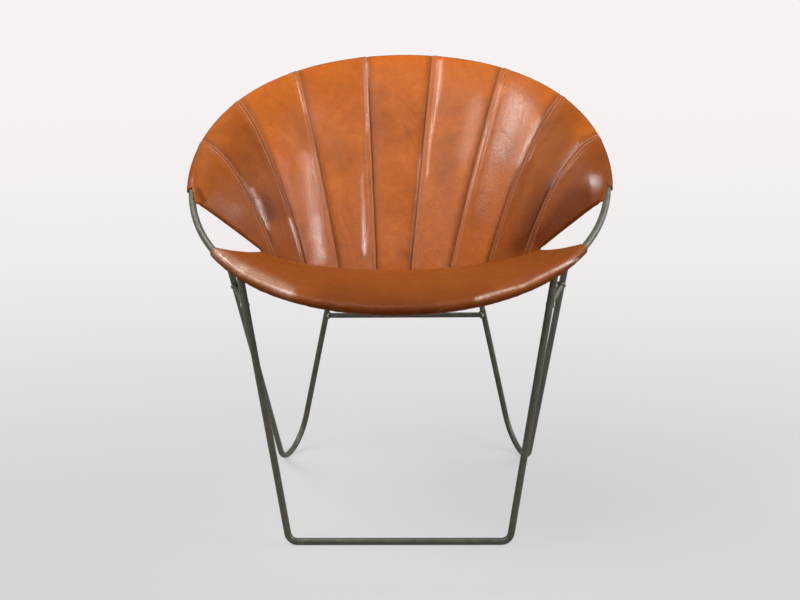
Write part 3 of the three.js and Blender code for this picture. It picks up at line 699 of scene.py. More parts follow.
# %% The seat's lines
def seat_run(angle):
    """The seat's line at a hoop angle, from the front of the hoop back to the crease."""
    share = np.sin(angle) / math.sin(SEAT_HALF_ANGLE)
    dip = SEAT_CENTRE_DIP + (SEAT_SIDE_DIP - SEAT_CENTRE_DIP) * share ** 2
    start = hoop_centre(angle) + WRAP_RADIUS * hoop_around(angle, math.pi / 2 + dip)
    end = crease_side(share, -1)
    chord = np.linalg.norm(end - start, axis=-1, keepdims=True)
    rise = unit(np.stack([SEAT_SPLAY_SHARE * share, np.full_like(share, -math.cos(SEAT_RISE)),
                          np.full_like(share, math.sin(SEAT_RISE))], axis=-1))
    first = start + SEAT_FRONT_SHARE * chord * hoop_around(angle, math.pi + dip)
    second = end + SEAT_BACK_SHARE * chord * rise
    return angle, angle, dip, share, (start, first, second, end)


# %% Points and lengths along a line
def bezier(curve, share):
    """The cubic Bezier point, from its four points weighted by powers of the share."""
    s = np.asarray(share, dtype=float)[..., None]
    r = 1 - s
    a, b, c, d = curve
    return r ** 3 * a + 3 * r * r * s * b + 3 * r * s * s * c + s ** 3 * d


def bezier_slope(curve, share):
    """The Bezier's direction: the weighted differences of its four points."""
    s = np.asarray(share, dtype=float)[..., None]
    r = 1 - s
    a, b, c, d = curve
    return unit(r * r * (b - a) + 2 * r * s * (c - b) + s * s * (d - c))


def curve_length(curve):
    """The Bezier's length, from the sum of short chords."""
    shares = [np.full(curve[0].shape[:-1], k / CHORDS) for k in range(CHORDS + 1)]
    points = [bezier(curve, share) for share in shares]
    return sum(np.linalg.norm(b - a, axis=-1) for a, b in zip(points, points[1:]))


# %% [markdown]
# ## One line of leather, from hem to crease
# Behind the hoop the leather's end is glued back under itself. From there it goes round the rod,
# then down its run, and at the crease it turns down into the sewn seam. Each line has the same
# stations, so lines side by side make a grid.

# %% Stations along a line
HEM_END, HEM_FOLD = 25.0, 13.0
CUT_START, CUT_END = math.radians(100), math.radians(145)
HEM_ROWS, FOLD_ROWS, WRAP_ROWS, RUN_ROWS, SEAM_ROWS = 6, 5, 34, 190, 8
kinds = np.repeat(np.arange(5), [HEM_ROWS, FOLD_ROWS, WRAP_ROWS, RUN_ROWS, SEAM_ROWS])
steps = np.concatenate([
    np.linspace(HEM_END, HEM_FOLD, HEM_ROWS),
    np.linspace(0, 1, FOLD_ROWS + 2)[1:-1],
    np.linspace(0, 1, WRAP_ROWS),
    np.linspace(0, 1, RUN_ROWS + 1)[1:],
    np.linspace(0, CREASE_SEAM_DEPTH, SEAM_ROWS + 1)[1:],
])
HEM, FOLD, WRAP, RUN, SEAM = (kinds == k for k in range(5))
run_share = np.where(RUN, steps, np.where(SEAM, 1.0, 0.0))


# %% The parts of a line put together
def leather_lines(run_at, place):
    """Points, grain directions, lap shares and lengths, for places (columns, stations).

    Hem: on the run, one layer below. Fold: straight from the hem to where it touches the rod.
    Wrap: a circle round the rod. Run: the Bezier. Seam: straight down from the crease."""
    step = math.radians(0.2)
    outer, inner, dip, share, curve = run_at(place)
    before, after = run_at(place - step), run_at(place + step)
    length = curve_length(curve)

    def on_run(at):
        """The run's points and grain directions, at shares of its length."""
        side = unit(bezier(after[4], at) - bezier(before[4], at))
        grain = unit(np.cross(side, bezier_slope(curve, at)))
        return bezier(curve, at), grain * np.sign(grain @ HOOP_NORMAL)[..., None]

    hem_share = np.where(HEM, steps, HEM_FOLD) / length
    hem_point, hem_grain = on_run(hem_share)
    hem_point = hem_point - LAYER * hem_grain
    fold_point, fold_grain = on_run(HEM_FOLD / length)
    fold_point = fold_point - LAYER * fold_grain
    offset = fold_point - hoop_centre(inner)
    high, inward = offset @ HOOP_NORMAL, -dot(offset, hoop_outward(inner))
    join = (math.pi - np.arctan2(high, inward)
            + np.arccos(np.clip(WRAP_RADIUS / np.hypot(high, inward), -1, 1)) - TAU)
    turn = join + (math.pi / 2 + dip - join) * np.where(WRAP, steps, 0.0)
    wrap_angle = inner + (outer - inner) * ease((CUT_END - turn) / (CUT_END - CUT_START))
    wrap_grain = hoop_around(wrap_angle, turn)
    wrap_point = hoop_centre(wrap_angle) + WRAP_RADIUS * wrap_grain
    mix = np.where(FOLD, steps, 0.0)[None, :, None]
    straight_point = fold_point + mix * (wrap_point - fold_point)
    straight_grain = unit((1 - mix) * -fold_grain + mix * wrap_grain)
    run_point, run_grain = on_run(np.broadcast_to(run_share, place.shape))
    hang, back = crease_frame(share)
    facing = back if run_at is seat_run else -back
    seam_point = run_point + np.where(SEAM, steps, 0.0)[None, :, None] * hang

    def choose(*parts):
        """At each station, the part that its kind asks for."""
        return sum(np.where(mask[None, :, None], part, 0.0)
                   for mask, part in zip((HEM, FOLD, WRAP, RUN, SEAM), parts))

    points = choose(hem_point, straight_point, wrap_point, run_point, seam_point)
    grain = choose(-hem_grain, straight_grain, wrap_grain, run_grain, facing)
    # A lap lies a whole layer high behind the hoop, and comes down to nothing at the crease.
    along = np.where(HEM, np.minimum(steps / length, 1.0), run_share)
    lap_share = np.clip((1 - along) / (1 - HEM_END / length), 0.0, 1.0)
    return points, grain, lap_share, length


centre_line = leather_lines(fan_run, np.zeros((1, len(kinds))))[0][0]
print("centre line, mm: hem", centre_line[0].round(1), "crease", centre_line[-1].round(1))

# %% [markdown]
# ## A sheet with two sides
# A sheet's middle surface is moved half a thickness both ways along its own slope to give the
# grain and the flesh side, and the cut edges close it. Its edges are thinned to a round, as an
# edge slicker leaves them.

# %% Undulations and the corner at the crease
CORNER_FROM_SHARE, CORNER_PASSES = 0.975, 10
random = np.random.default_rng(1962)
WAVE_COUNT = 28
wave_ways = unit(random.normal(size=(WAVE_COUNT, 3)))
wave_lengths = random.uniform(26.0, 90.0, WAVE_COUNT)
wave_starts = random.uniform(0, TAU, WAVE_COUNT)
fine_lengths = random.uniform(7.0, 13.0, WAVE_COUNT)


def undulation(points, lengths, shift=0.0):
    """A smooth random height between about -1 and 1: a mean of sine waves in all directions."""
    phases = (points @ wave_ways.T) * (TAU / lengths) + wave_starts + shift
    return np.sin(phases).sum(axis=-1) / math.sqrt(WAVE_COUNT / 2) / 2


def surface_normals(middle, grain):
    """Square to both grid directions, on the side that the grain faces."""
    normals = unit(np.cross(np.gradient(middle, axis=0), np.gradient(middle, axis=1)))
    return normals * np.where(dot(normals, grain) < 0, -1.0, 1.0)[..., None]


def soften_corner(points):
    """Each row round the corner at the crease moved to its neighbours' mean, a few times."""
    rows = np.flatnonzero(SEAM | (run_share > CORNER_FROM_SHARE))[:-1]
    for _ in range(CORNER_PASSES):
        points[:, rows] = (points[:, rows - 1] + 2 * points[:, rows] + points[:, rows + 1]) / 4
    return points


# %% A closed sheet
EDGE_THINNING = [0.35, 0.75, 0.95]
SHEET_SMOOTH_BELOW = 50.0


def sheet_object(name, middle, normals, skived, attributes):
    """A closed sheet from its middle surface: grain side, flesh side and cut edges."""
    columns, rows = middle.shape[:2]
    half = LEATHER / 2 * np.broadcast_to(skived, (columns, rows)).copy()
    for k, share in enumerate(EDGE_THINNING):
        half[[k, -1 - k]] *= share
        half[:, [k, -1 - k]] *= share
    layers = np.stack([middle + half[..., None] * normals, middle - half[..., None] * normals])
    size = columns * rows
    grid = grid_faces(columns, rows)
    index = np.arange(size).reshape(columns, rows)
    loop = np.concatenate([index[:-1, 0], index[-1, :-1], index[:0:-1, -1], index[0, :0:-1]])
    on = np.roll(loop, -1)
    parts = [grid, grid[:, ::-1] + size, np.stack([loop, loop + size, on + size, on], axis=-1)]
    # The grid's own turn has to match the side that the grain faces.
    a, b, d = layers[0, :-1, :-1], layers[0, 1:, :-1], layers[0, :-1, 1:]
    if np.median(dot(np.cross(b - a, d - a), normals[:-1, :-1])) <= 0:
        parts = [part[:, ::-1] for part in parts]
    made = new_object(name, layers, np.concatenate(parts).tolist(),
                      [grain_leather, flesh_leather, edge_leather],
                      face_slots=np.repeat([0, 1, 2], [len(part) for part in parts]),
                      crease_angle=SHEET_SMOOTH_BELOW)
    for key, values in attributes.items():
        give_attribute(made, key, np.broadcast_to(values, (2, columns, rows)))
    return made, layers


# %% Edges rolled under
WING_ROLL, SEAT_ROLL, LEAST_ROLL_SHARE = 2.8, 2.0, 0.1
ROLL_COLUMNS, TAIL_COLUMNS = 12, 6
FOLD_FULL, FOLD_CLOSE = 22.0, 30.0


def rolled_edge(middle, grain, length, first, tail, radius):
    """Columns that carry on past a sheet's first or last column and roll under, as a hem does.

    The way ahead turns by half a turn, from outwards to back under the flesh side, and its
    steps are summed. They are almost nothing at the rod and at the crease, and full between."""
    edge, beside = (0, 1) if first else (-1, -2)
    outward = unit(middle[edge] - middle[beside])
    reached = run_share * length[edge]
    fold = RUN * ease(reached / FOLD_FULL) * ease((length[edge] - reached) / FOLD_CLOSE)
    arc = radius * math.pi
    lengths = np.repeat([arc / ROLL_COLUMNS, tail / TAIL_COLUMNS], [ROLL_COLUMNS, TAIL_COLUMNS])
    turned = np.clip((np.cumsum(lengths) - lengths / 2) / arc, 0, 1)
    bend = (turned * math.pi)[:, None, None]
    size = lengths[:, None, None] * (LEAST_ROLL_SHARE + (1 - LEAST_ROLL_SHARE) * fold)[:, None]
    ahead = np.cos(bend) * outward - np.sin(bend) * grain[edge]
    new_grain = np.cos(bend) * grain[edge] + np.sin(bend) * outward
    return middle[edge] + np.cumsum(size * ahead, axis=0), new_grain


def joined(sheet, extra, first):
    """A sheet's columns with the extra ones before the first or after the last."""
    return np.concatenate([extra[::-1], sheet] if first else [sheet, extra])


# %% [markdown]
# ## Back panels
# Nine wedge-shaped panels make the back. At each seam the panel farther out lies over the one
# nearer the middle, and two rows of stitches hold the lap. Between its seams every panel is
# drawn tight lengthwise and crowns a little across. Panels could be one surface with drawn-on
# lines. Here each is its own sheet, so the laps have real steps and real edges.

# %% Seams
LAP_HALF, LAP_LIMIT_SHARE, RAMP = 5.5, 0.2, 6.5
LAP_COLUMNS = np.array([-1, -0.94, -0.84, -0.73, -0.62, -0.5, -0.25, 0, 0.25, 0.5, 0.62, 0.73,
                        0.86, 1])
RAMP_COLUMNS = np.linspace(0, 1, 8)[1:]
INNER_COLUMNS = 30
STITCH_ROW_SHARE, STITCH_COLUMNS = 0.62, (4, 10)
PULL_WIDTH, GROOVE_DEPTH, PULL_SHADE = 0.75, 0.45, 0.55
BAND_RISE, BAND_SHARE = 0.35, 0.45
STEP_SHADE, STEP_AT_SHARE = 0.4, 0.6
SKIVE_SHARE, SKIVE_END_SHARE = 0.4, 0.22
stations = len(kinds)
NO_NEIGHBOUR = np.full((1, stations), np.inf)

boundaries = (np.arange(FAN_PANELS + 1) - FAN_PANELS / 2) * PANEL_ANGLE
seam_points = leather_lines(fan_run, np.repeat(boundaries[:, None], stations, axis=1))[0]
widths = gaps_along(seam_points)
narrower = np.minimum(np.vstack([NO_NEIGHBOUR, widths]), np.vstack([widths, NO_NEIGHBOUR]))
reaches = np.minimum(LAP_HALF, LAP_LIMIT_SHARE * narrower)
print("panel widths at the rim, mm:", widths[:, HEM_ROWS + FOLD_ROWS + WRAP_ROWS].round())

# Near the rod both layers of a lap are skived thin, so that it goes round without a lump.
thin = SKIVE_SHARE + (1 - SKIVE_SHARE) * ease(np.where(RUN, run_share, 0.0) / SKIVE_END_SHARE)
thin = np.where(SEAM, 1.0, thin)


def seam_relief(distance, reach, is_over, lap_share):
    """A lapped seam's height, shade and thickness, at a distance from its line.

    On the lap a panel rises over the other or gives way to it, and that eases to nothing over
    the ramp beside it. Each stitch row pulls a bell-shaped groove, with a low bell between."""
    size = reach / LAP_HALF
    ramp_width = RAMP * size
    on_lap = 1 - ease((distance - reach) / np.maximum(ramp_width, 1e-3))
    rows_at = np.abs(np.abs(distance) - STITCH_ROW_SHARE * reach) / np.maximum(size, 0.05)
    pull = np.exp(-(rows_at / PULL_WIDTH) ** 2) * (RUN | WRAP)
    band = np.exp(-(distance / np.maximum(reach * BAND_SHARE, 0.1)) ** 2)
    from_step = distance - reach - STEP_AT_SHARE * ramp_width
    beside = np.exp(-(from_step / np.maximum(ramp_width, 0.1)) ** 2)
    lift = LAYER * thin * lap_share if is_over else LAYER * (lap_share - 1)
    height = lift * on_lap + size * thin * (BAND_RISE * band - GROOVE_DEPTH * pull)
    # Painted shade: dark in each stitch groove, and on the under panel beside the step.
    shade = PULL_SHADE * pull + (0.0 if is_over else STEP_SHADE) * beside
    return height, shade, 1 - (1 - thin) * on_lap


# %% [markdown]
# ## Dye, wax, painted shade and a painted highlight
# No two panels of a real hide match: dye pools in some places, and hands and clothes polish
# others. Noise alone would put such marks anywhere. Here each is a soft stroke between two
# places in the picture, given as pixels, with a half width in pixels and an amount. Some dark
# strokes are painted shade, in creases, folds and low on the bowl's right side, and pale strokes
# on the seat's lip are a painted highlight. Each is stored on the sheet's own points, so it stays
# there when the camera moves.

# %% Strokes of dye and wax
def painted(points_mm, strokes):
    """The sum of soft strokes, each (start, end, half width, amount) with its ends in the picture.

    A stroke is its amount times exp of minus the squared distance to its line over its width."""
    u, v = image_place(points_mm * MM)
    total = np.zeros(u.shape)
    for start, end, half_width, amount in strokes:
        way = np.subtract(end, start).astype(float)
        along = ((u - start[0]) * way[0] + (v - start[1]) * way[1]) / max(float(way @ way), 1.0)
        along = np.clip(along, 0, 1)
        away = (u - start[0] - along * way[0]) ** 2 + (v - start[1] - along * way[1]) ** 2
        total += amount * np.exp(-away / half_width ** 2)
    return total


# %% Where the strokes lie
# How orange each panel's dye is near the rim, and how brown it is all over. The seat's
# brownness is partly dye and partly painted shade: it darkens the seat, which faces up to the lamps.
RIM_WARMTH = {1: 0.05, 2: 0.2, 3: 0.4, 4: 0.5, 5: 0.85, 6: 0.75, 7: 0.45, 8: 0.2, 9: 0.0}
DEPTH = {1: 0.5, 2: 0.52, 3: 0.12, 4: 0.0, 5: 0.0, 6: 0.0, 7: 0.05, 8: 0.42, 9: 0.45, "seat": 0.7}
# Browner clouds in the dye, and below 0 more orange ones, by panel. Some strokes are painted
# shade instead, each marked.
DYE_AND_SHADE_STROKES = {
    # Panel 1's second stroke is painted shade in the folds gathered at the corner.
    1: [((215, 210), (245, 232), 12, 0.15), ((198, 190), (203, 201), 3.0, 0.5)],
    2: [((264, 204), (270, 212), 11, 0.5), ((240, 150), (248, 172), 12, 0.1)],
    3: [((272, 195), (284, 225), 9, 0.25), ((262, 135), (282, 160), 14, -0.45),
        ((314, 180), (320, 252), 7, 0.2)],
    4: [((330, 140), (332, 165), 14, 0.12), ((363, 200), (364, 255), 4, 0.3)],
    # Panel 5's second, third and fourth strokes are painted shade in creases.
    5: [((372, 110), (380, 140), 16, 0.2), ((403, 254), (408, 257), 5, 0.4),
        ((398, 96), (428, 128), 1.3, 0.3), ((402, 122), (424, 162), 1.3, 0.25)],
    6: [((448, 140), (446, 180), 10, 0.2)],
    # Panel 7's third stroke is a painted shadow along the lower seam with panel 8.
    7: [((518, 104), (502, 150), 16, 0.3), ((482, 195), (474, 225), 8, 0.25),
        ((535, 160), (505, 225), 4, 0.4)],
    # Panel 8's first stroke and both of panel 9's are painted shade low on the bowl's right side.
    8: [((552, 190), (520, 245), 12, 0.55), ((566, 140), (556, 160), 12, 0.15)],
    9: [((600, 160), (585, 215), 20, 0.35), ((575, 205), (545, 240), 14, 0.7)],
    "seat": [((385, 311), (430, 311), 7, 0.5), ((330, 300), (400, 306), 14, 0.25),
             ((430, 300), (480, 296), 14, 0.15)],
}
# How thick the wax is all over, and places where it was rubbed to a shine, by panel.
WAX = {1: 0.02, 2: 0.02, 8: 0.02, 9: 0.02, "seat": 0.015}
WAX_ELSEWHERE, WAX_AT_RIM_SHARE = 0.04, 0.1
SEAM_SHINE = ((291, 222), (301, 251), 2.8, 1.0)
WAX_STROKES = {
    1: [((203, 192), (236, 214), 6, 0.12), ((193, 181), (195, 189), 2.0, 0.7)],
    2: [((258, 203), (265, 227), 3.0, 1.0), SEAM_SHINE, ((241, 178), (252, 196), 1.6, 0.25),
        ((252, 190), (259, 205), 1.8, 0.5)],
    3: [SEAM_SHINE, ((309, 160), (319, 258), 7.5, 0.4), ((316, 222), (320, 254), 5.0, 0.6),
        ((270, 165), (290, 200), 12, 0.05), ((298, 84), (305, 112), 1.6, 0.8)],
    4: [((362, 178), (364, 255), 1.6, 0.25), ((363, 206), (364, 253), 2.0, 0.3),
        ((364, 230), (364, 250), 2.4, 0.4), ((322, 112), (336, 145), 13, 0.1),
        ((320, 200), (332, 256), 1.6, 0.3), ((366, 63), (368, 132), 1.3, 0.8)],
    5: [((367, 63), (369, 132), 1.2, 0.5), ((421, 157), (413, 258), 1.8, 0.5),
        ((380, 240), (410, 245), 16, 0.08)],
    6: [((440, 62), (437, 100), 2.4, 0.55), ((437, 100), (430, 140), 1.7, 0.6),
        ((430, 140), (427, 175), 1.4, 0.4), ((478, 105), (466, 155), 8, 0.16)],
    7: [((518, 106), (502, 150), 15, 0.5), ((540, 122), (520, 162), 4.5, 0.45),
        ((497, 150), (484, 200), 12, 0.2), ((501, 85), (466, 205), 1.5, 0.3)],
    8: [((581, 146), (556, 187), 4.0, 1.0), ((562, 105), (530, 160), 1.6, 0.2)],
    9: [((595, 181), (596, 182), 6.5, 1.0), ((598, 140), (560, 176), 1.6, 0.15)],
    "seat": [((222, 257), (290, 293), 4.5, 0.5), ((478, 299), (577, 259), 2.5, 0.6),
             ((215, 249), (226, 262), 4, 0.2)],
}
# Painted highlight on the seat's lip: broad at the left, a thin line at the right.
LIP_HIGHLIGHT_STROKES = [((218, 253), (242, 269), 5.0, 0.45), ((242, 269), (290, 292), 4.8, 0.5),
                  ((476, 299), (523, 286), 1.3, 0.7), ((523, 286), (577, 259), 1.2, 0.6)]


# %% A sheet's tint and wax
def dye_and_shade_tint(points_mm, rim_near, panel):
    """How far the colour leans to orange (above 0) or to brown (below 0) at each point, from dye and
    from painted shade strokes.
    """
    brown = DEPTH[panel] + painted(points_mm, DYE_AND_SHADE_STROKES[panel])
    return np.clip(RIM_WARMTH.get(panel, 0.0) * rim_near - brown, -1, 1)


def hide_wax(points_mm, rim_near, panel, turned_away):
    """How thick and how polished the wax is: thin near the rim, none where it turns away."""
    even = WAX.get(panel, WAX_ELSEWHERE) * (1 - (1 - WAX_AT_RIM_SHARE) * rim_near)
    wax = even + painted(points_mm, WAX_STROKES[panel])
    return np.clip(wax, 0, 1) * (1 - turned_away)


# %% Old fold lines
# By panel: where each runs in the picture, its depth in mm and its half width in pixels.
FOLD_LINES = {
    3: [((286, 150), (300, 172), 0.35, 1.5)],
    4: [((338, 212), (351, 240), 0.8, 1.5), ((336, 226), (346, 248), 0.7, 1.4),
        ((343, 205), (357, 232), 0.5, 1.4)],
    5: [((398, 96), (428, 128), 0.9, 1.5), ((402, 122), (424, 162), 0.8, 1.5),
        ((400, 249), (411, 262), 0.9, 1.6), ((370, 108), (392, 150), 0.5, 1.6)],
}


def fold_line(points_mm, start, end, depth, broad):
    """A fold in the hide: a bell-shaped dip along a straight line, fading at its ends."""
    u, v = image_place(points_mm * MM)
    way = np.array(end, dtype=float) - start
    span = np.hypot(*way)
    along = ((u - start[0]) * way[0] + (v - start[1]) * way[1]) / span ** 2
    aside = ((u - start[0]) * way[1] - (v - start[1]) * way[0]) / span
    fade = np.clip(1 - (2 * along - 1) ** 2, 0, 1)
    return -depth * fade * np.exp(-(aside / broad) ** 2)


# %% One back panel
CROWN_SHARE, CROWN_FULL_SHARE, CROWN_FALL_SHARE = 0.046, 0.2, 0.82
SLACK_HEIGHT, FINE_HEIGHT = 0.32, 0.07
WRINKLE_HEIGHT, WRINKLE_PITCH, WRINKLE_WANDER, WRINKLE_HALF_SHARE = 0.15, 6.5, 2.2, 0.42
EDGE_TRIM, EDGE_DRAWN_IN, FOLD_BACK, FOLD_BACK_SHARE = 9.0, 9.0, 8.0, 0.35
TOWARDS_FRONT, FAR_SIDE_SHADE = unit(np.array([0.0, -1.0, 0.15])), 0.85
RIM_REACH = 45.0


def behind_rod(start, wide):
    """1 behind the hoop, easing to 0 over a stretch of the wrap, and 0 on the run."""
    return np.where(HEM | FOLD, 1.0, np.where(WRAP, 1 - ease((steps - start) / wide), 0.0))


hidden_share = behind_rod(0.0, 0.45)


def panel_columns(width, free, reach):
    """How far each column lies from the left seam: close together on laps, even between."""
    seams = []
    for k in (0, 1):
        on_lap = LAP_COLUMNS[:, None] * reach[k]
        on_ramp = reach[k] + RAMP_COLUMNS[:, None] * RAMP * reach[k] / LAP_HALF
        seams.append(np.zeros((1, stations)) if free[k] else np.vstack([on_lap, on_ramp]))
    left, right = seams[0], width - seams[1][::-1]
    between = np.linspace(0, 1, INNER_COLUMNS + 2)[1:-1, None]
    lateral = np.vstack([left, left[-1] + between * (right[0] - left[-1]), right])
    # Behind the rod the hem is cut back from the panel's free edge, so that it stays hidden.
    # On the run, rolling the free edge under draws it in.
    drawn = RUN * rise_and_fall(run_share, 0.0, 0.09, 0.88, 0.98)
    trim = EDGE_TRIM * hidden_share + EDGE_DRAWN_IN * drawn
    if free[0]:
        lateral = trim + lateral * (1 - trim / width)
    if free[1]:
        lateral = lateral * (1 - trim / width)
    return lateral


# %% The whole panel
def panel_sheet(number):
    """One back panel, 1 to 9 from the left, as its middle surface and what goes with it."""
    index, width = number - 1, widths[number - 1]
    free = (index == 0, index == FAN_PANELS - 1)
    over = (index > FAN_PANELS // 2, index < FAN_PANELS // 2)
    reach = [np.zeros(stations) if free[k] else reaches[index + k] for k in (0, 1)]
    lateral = panel_columns(width, free, reach)
    place = boundaries[index] + lateral / width * PANEL_ANGLE
    points, grain, lap_share, length = leather_lines(fan_run, place)

    height, painted_shade, skived = 0.0, np.zeros_like(lateral), np.ones_like(lateral)
    for k, distance in ((0, lateral), (1, width - lateral)):
        if not free[k]:
            rise, shade, thickness = seam_relief(distance, reach[k], over[k], lap_share)
            height = height + rise
            painted_shade, skived = np.maximum(painted_shade, shade), np.minimum(skived, thickness)

    # The crown: highest between the seams, gone at the rod and at the crease.
    inner_width = np.maximum(width - reach[0] - reach[1], 1.0)
    across = np.clip((lateral - reach[0]) / inner_width, 0, 1)
    along = run_share * RUN
    crown = CROWN_SHARE * width * (1 - (2 * across - 1) ** 4)
    height += crown * rise_and_fall(along, 0.0, CROWN_FULL_SHARE, CROWN_FALL_SHARE, 1.0)

    # Slack in the hide: long soft waves, and fine wrinkles across the run near the crease.
    loose = rise_and_fall(along, 0.0, 0.12, 0.95, 1.0)
    height += SLACK_HEIGHT * loose * undulation(points, wave_lengths, number * 1.7)
    height += FINE_HEIGHT * loose * undulation(points, fine_lengths, number * 2.3)
    tight = rise_and_fall(along, 0.45, 0.8, 0.94, 1.0)
    wander = WRINKLE_WANDER * undulation(points, wave_lengths, 4.0 + number)
    wrinkles = np.sin(TAU * along * length / WRINKLE_PITCH + wander)
    in_the_middle = np.exp(-((across - 0.5) / WRINKLE_HALF_SHARE) ** 4)
    height += WRINKLE_HEIGHT * tight * wrinkles * in_the_middle
    for line in FOLD_LINES.get(number, []):
        height += fold_line(points, *line)

    middle = soften_corner(points + height[..., None] * grain)
    near_rim = np.where(RUN, np.exp(-along * length / RIM_REACH), np.where(SEAM, 0.0, 1.0))
    if free[0] or free[1]:
        edge, first = (0, True) if free[0] else (-1, False)
        tail = min(FOLD_BACK, FOLD_BACK_SHARE * width.min())
        extra, extra_grain = rolled_edge(middle, grain, length, first, tail, WING_ROLL)
        same = np.ones((len(extra), 1))
        middle, grain = joined(middle, extra, first), joined(grain, extra_grain, first)
        painted_shade = joined(painted_shade, same * painted_shade[edge], first)
        near_rim = joined(near_rim, same * near_rim[edge], first)
        skived = joined(skived, same * np.ones(stations), first)
    normals = surface_normals(middle, grain)
    # Painted shade on the rim's far side: darker, fully so where it faces away from the front.
    turned_away = 1 - ease((normals @ TOWARDS_FRONT - 0.25) / 0.5)
    away = behind_rod(0.78, 0.2) * turned_away
    return middle, normals, skived, np.maximum(painted_shade, FAR_SIDE_SHADE * away), near_rim, away


# %% Leather that replaces a measured panel, and its holes
LEG_HOLE, HOLE_START, HOLE_END, HOLE_SIDES = 1.3, 1.0, 70.0, 40


def declare_leather(made, name):
    """Puts a sheet in the measured panel's place."""
    take_place(made, name)


def bore_holes(made, heads):
    """Cuts a round hole through the leather for each rod that leaves the hoop."""
    turns = full_turn(HOLE_SIDES)[:, None]
    index = np.arange(HOLE_SIDES)
    for head, way, rod_radius in heads:
        first = unit(np.cross(way, ACROSS + HOOP_NORMAL))
        second = np.cross(way, first)
        circle = (rod_radius + LEG_HOLE) * (np.cos(turns) * first + np.sin(turns) * second)
        rings = np.stack([head + HOLE_START * way + circle, head + HOLE_END * way + circle])
        faces = grid_faces(2, HOLE_SIDES, wrap_rows=True, turn=True).tolist()
        faces += [index[::-1].tolist(), (index + HOLE_SIDES).tolist()]
        cutter = new_object("hole_cutter", rings, faces, [])
        cut = made.modifiers.new("hole", "BOOLEAN")
        cut.operation, cut.solver, cut.object = "DIFFERENCE", "EXACT", cutter
        graph = bpy.context.evaluated_depsgraph_get()
        drilled = bpy.data.meshes.new_from_object(made.evaluated_get(graph))
        made.modifiers.clear()
        made.data = drilled
        bpy.data.objects.remove(cutter)


# %% Make the nine panels
UPRIGHT_PANELS, PIECE_SHIFT = (5, 6), 0.37
stitch_lines = {seam: [] for seam in range(1, FAN_PANELS)}
for number in range(1, FAN_PANELS + 1):
    middle, normals, skived, painted_shade, near_rim, away = panel_sheet(number)
    made, layers = sheet_object(f"back_leather_{number}", middle, normals, skived, {
        "painted_shade": painted_shade, "tint": dye_and_shade_tint(middle, near_rim, number),
        "wax": hide_wax(middle, near_rim, number, away), "hide_piece": PIECE_SHIFT * number})
    # An over panel's own lap columns carry the two stitch rows of that seam.
    if number - 1 > FAN_PANELS // 2:
        stitch_lines[number - 1] += [(layers[0, k], normals[k]) for k in STITCH_COLUMNS]
    if number - 1 < FAN_PANELS // 2:
        stitch_lines[number] += [(layers[0, -1 - k], normals[-1 - k]) for k in STITCH_COLUMNS]
    if number in UPRIGHT_PANELS:
        bore_holes(made, rod_heads["back"])
    declare_leather(made, f"back_panel_{number}")

# %% [markdown]
# ## The seat
# The seat is one smooth piece with no seams, wrapped round the front of the hoop and drawn back
# and down to the crease. Its two side edges are folded under. Each leg rod passes through a
# round hole in the wrap.

# %% Seat panel
SEAT_COLUMNS, SEAT_TRIM_SHARE = 230, 0.025
SEAT_EDGE_RIGHT, SEAT_EDGE_LEFT = math.radians(55.7), math.radians(54.9)
SEAT_SAG, SEAT_SAG_REACH_SHARE, SEAT_TAIL = 2.5, 0.16, 6.0
SEAT_SLACK_HEIGHT, SEAT_FINE_HEIGHT, LUMP_HEIGHT, HEM_WANDER = 0.5, 0.05, 0.42, 1.2
SEAT_PIECE_SHIFT, LIP_SHADE, LIP_DULL = 4.1, 0.7, 0.8


def seat_sheet():
    """The seat's middle surface, with its side edges rolled under."""
    angles = np.linspace(SEAT_EDGE_RIGHT, -SEAT_EDGE_LEFT, SEAT_COLUMNS)
    place = angles[:, None] * (1 - SEAT_TRIM_SHARE * hidden_share)
    points, grain, _, length = leather_lines(seat_run, place)
    along = run_share * RUN
    loose = rise_and_fall(along, 0.0, 0.1, 0.93, 1.0)
    height = SEAT_SLACK_HEIGHT * loose * undulation(points, wave_lengths * 1.7, 0.4)
    height += SEAT_FINE_HEIGHT * loose * undulation(points, fine_lengths, 0.9)
    # The free side edges carry no seam, so they sag a little between rod and crease.
    from_edge = 1 - np.abs(place) / SEAT_EDGE_RIGHT
    near_edge = np.exp(-(from_edge / SEAT_SAG_REACH_SHARE) ** 2)
    height -= SEAT_SAG * near_edge * np.sin(np.pi * along) * RUN
    # On the rod the leather was hammered round while wet, which leaves it slightly lumpy.
    lumps = undulation(points, fine_lengths * 1.3, 2.1)
    lumps += 0.6 * undulation(points, fine_lengths * 0.6)
    height += LUMP_HEIGHT * WRAP * lumps * np.sin(np.pi * np.where(WRAP, steps, 0.0))
    middle = points + height[..., None] * grain
    # The hem's cut edge wanders a little.
    wander = HEM_WANDER * undulation(points, fine_lengths * 2.0, 5.0)
    middle[:, 0] += wander[:, 0, None] * unit(middle[:, 0] - middle[:, 3])
    middle = soften_corner(middle)
    rolls = [rolled_edge(middle, grain, length, first, SEAT_TAIL, SEAT_ROLL)
             for first in (True, False)]
    for (extra, extra_grain), first in zip(rolls, (True, False)):
        middle, grain = joined(middle, extra, first), joined(grain, extra_grain, first)
    return middle, surface_normals(middle, grain)


middle, normals = seat_sheet()
# Painted shade under the lip, where the wrap turns under the rod; its wax is dulled there too.
under_lip = behind_rod(0.46, 0.24)
seat, _ = sheet_object("seat_leather", middle, normals, 1.0, {
    "painted_shade": LIP_SHADE * under_lip, "tint": dye_and_shade_tint(middle, 0.0, "seat"),
    "wax": hide_wax(middle, 0.0, "seat", LIP_DULL * under_lip),
    "painted_lip_highlight": painted(middle, LIP_HIGHLIGHT_STROKES), "hide_piece": SEAT_PIECE_SHIFT})
bore_holes(seat, rod_heads["seat"])
declare_leather(seat, "seat_panel")

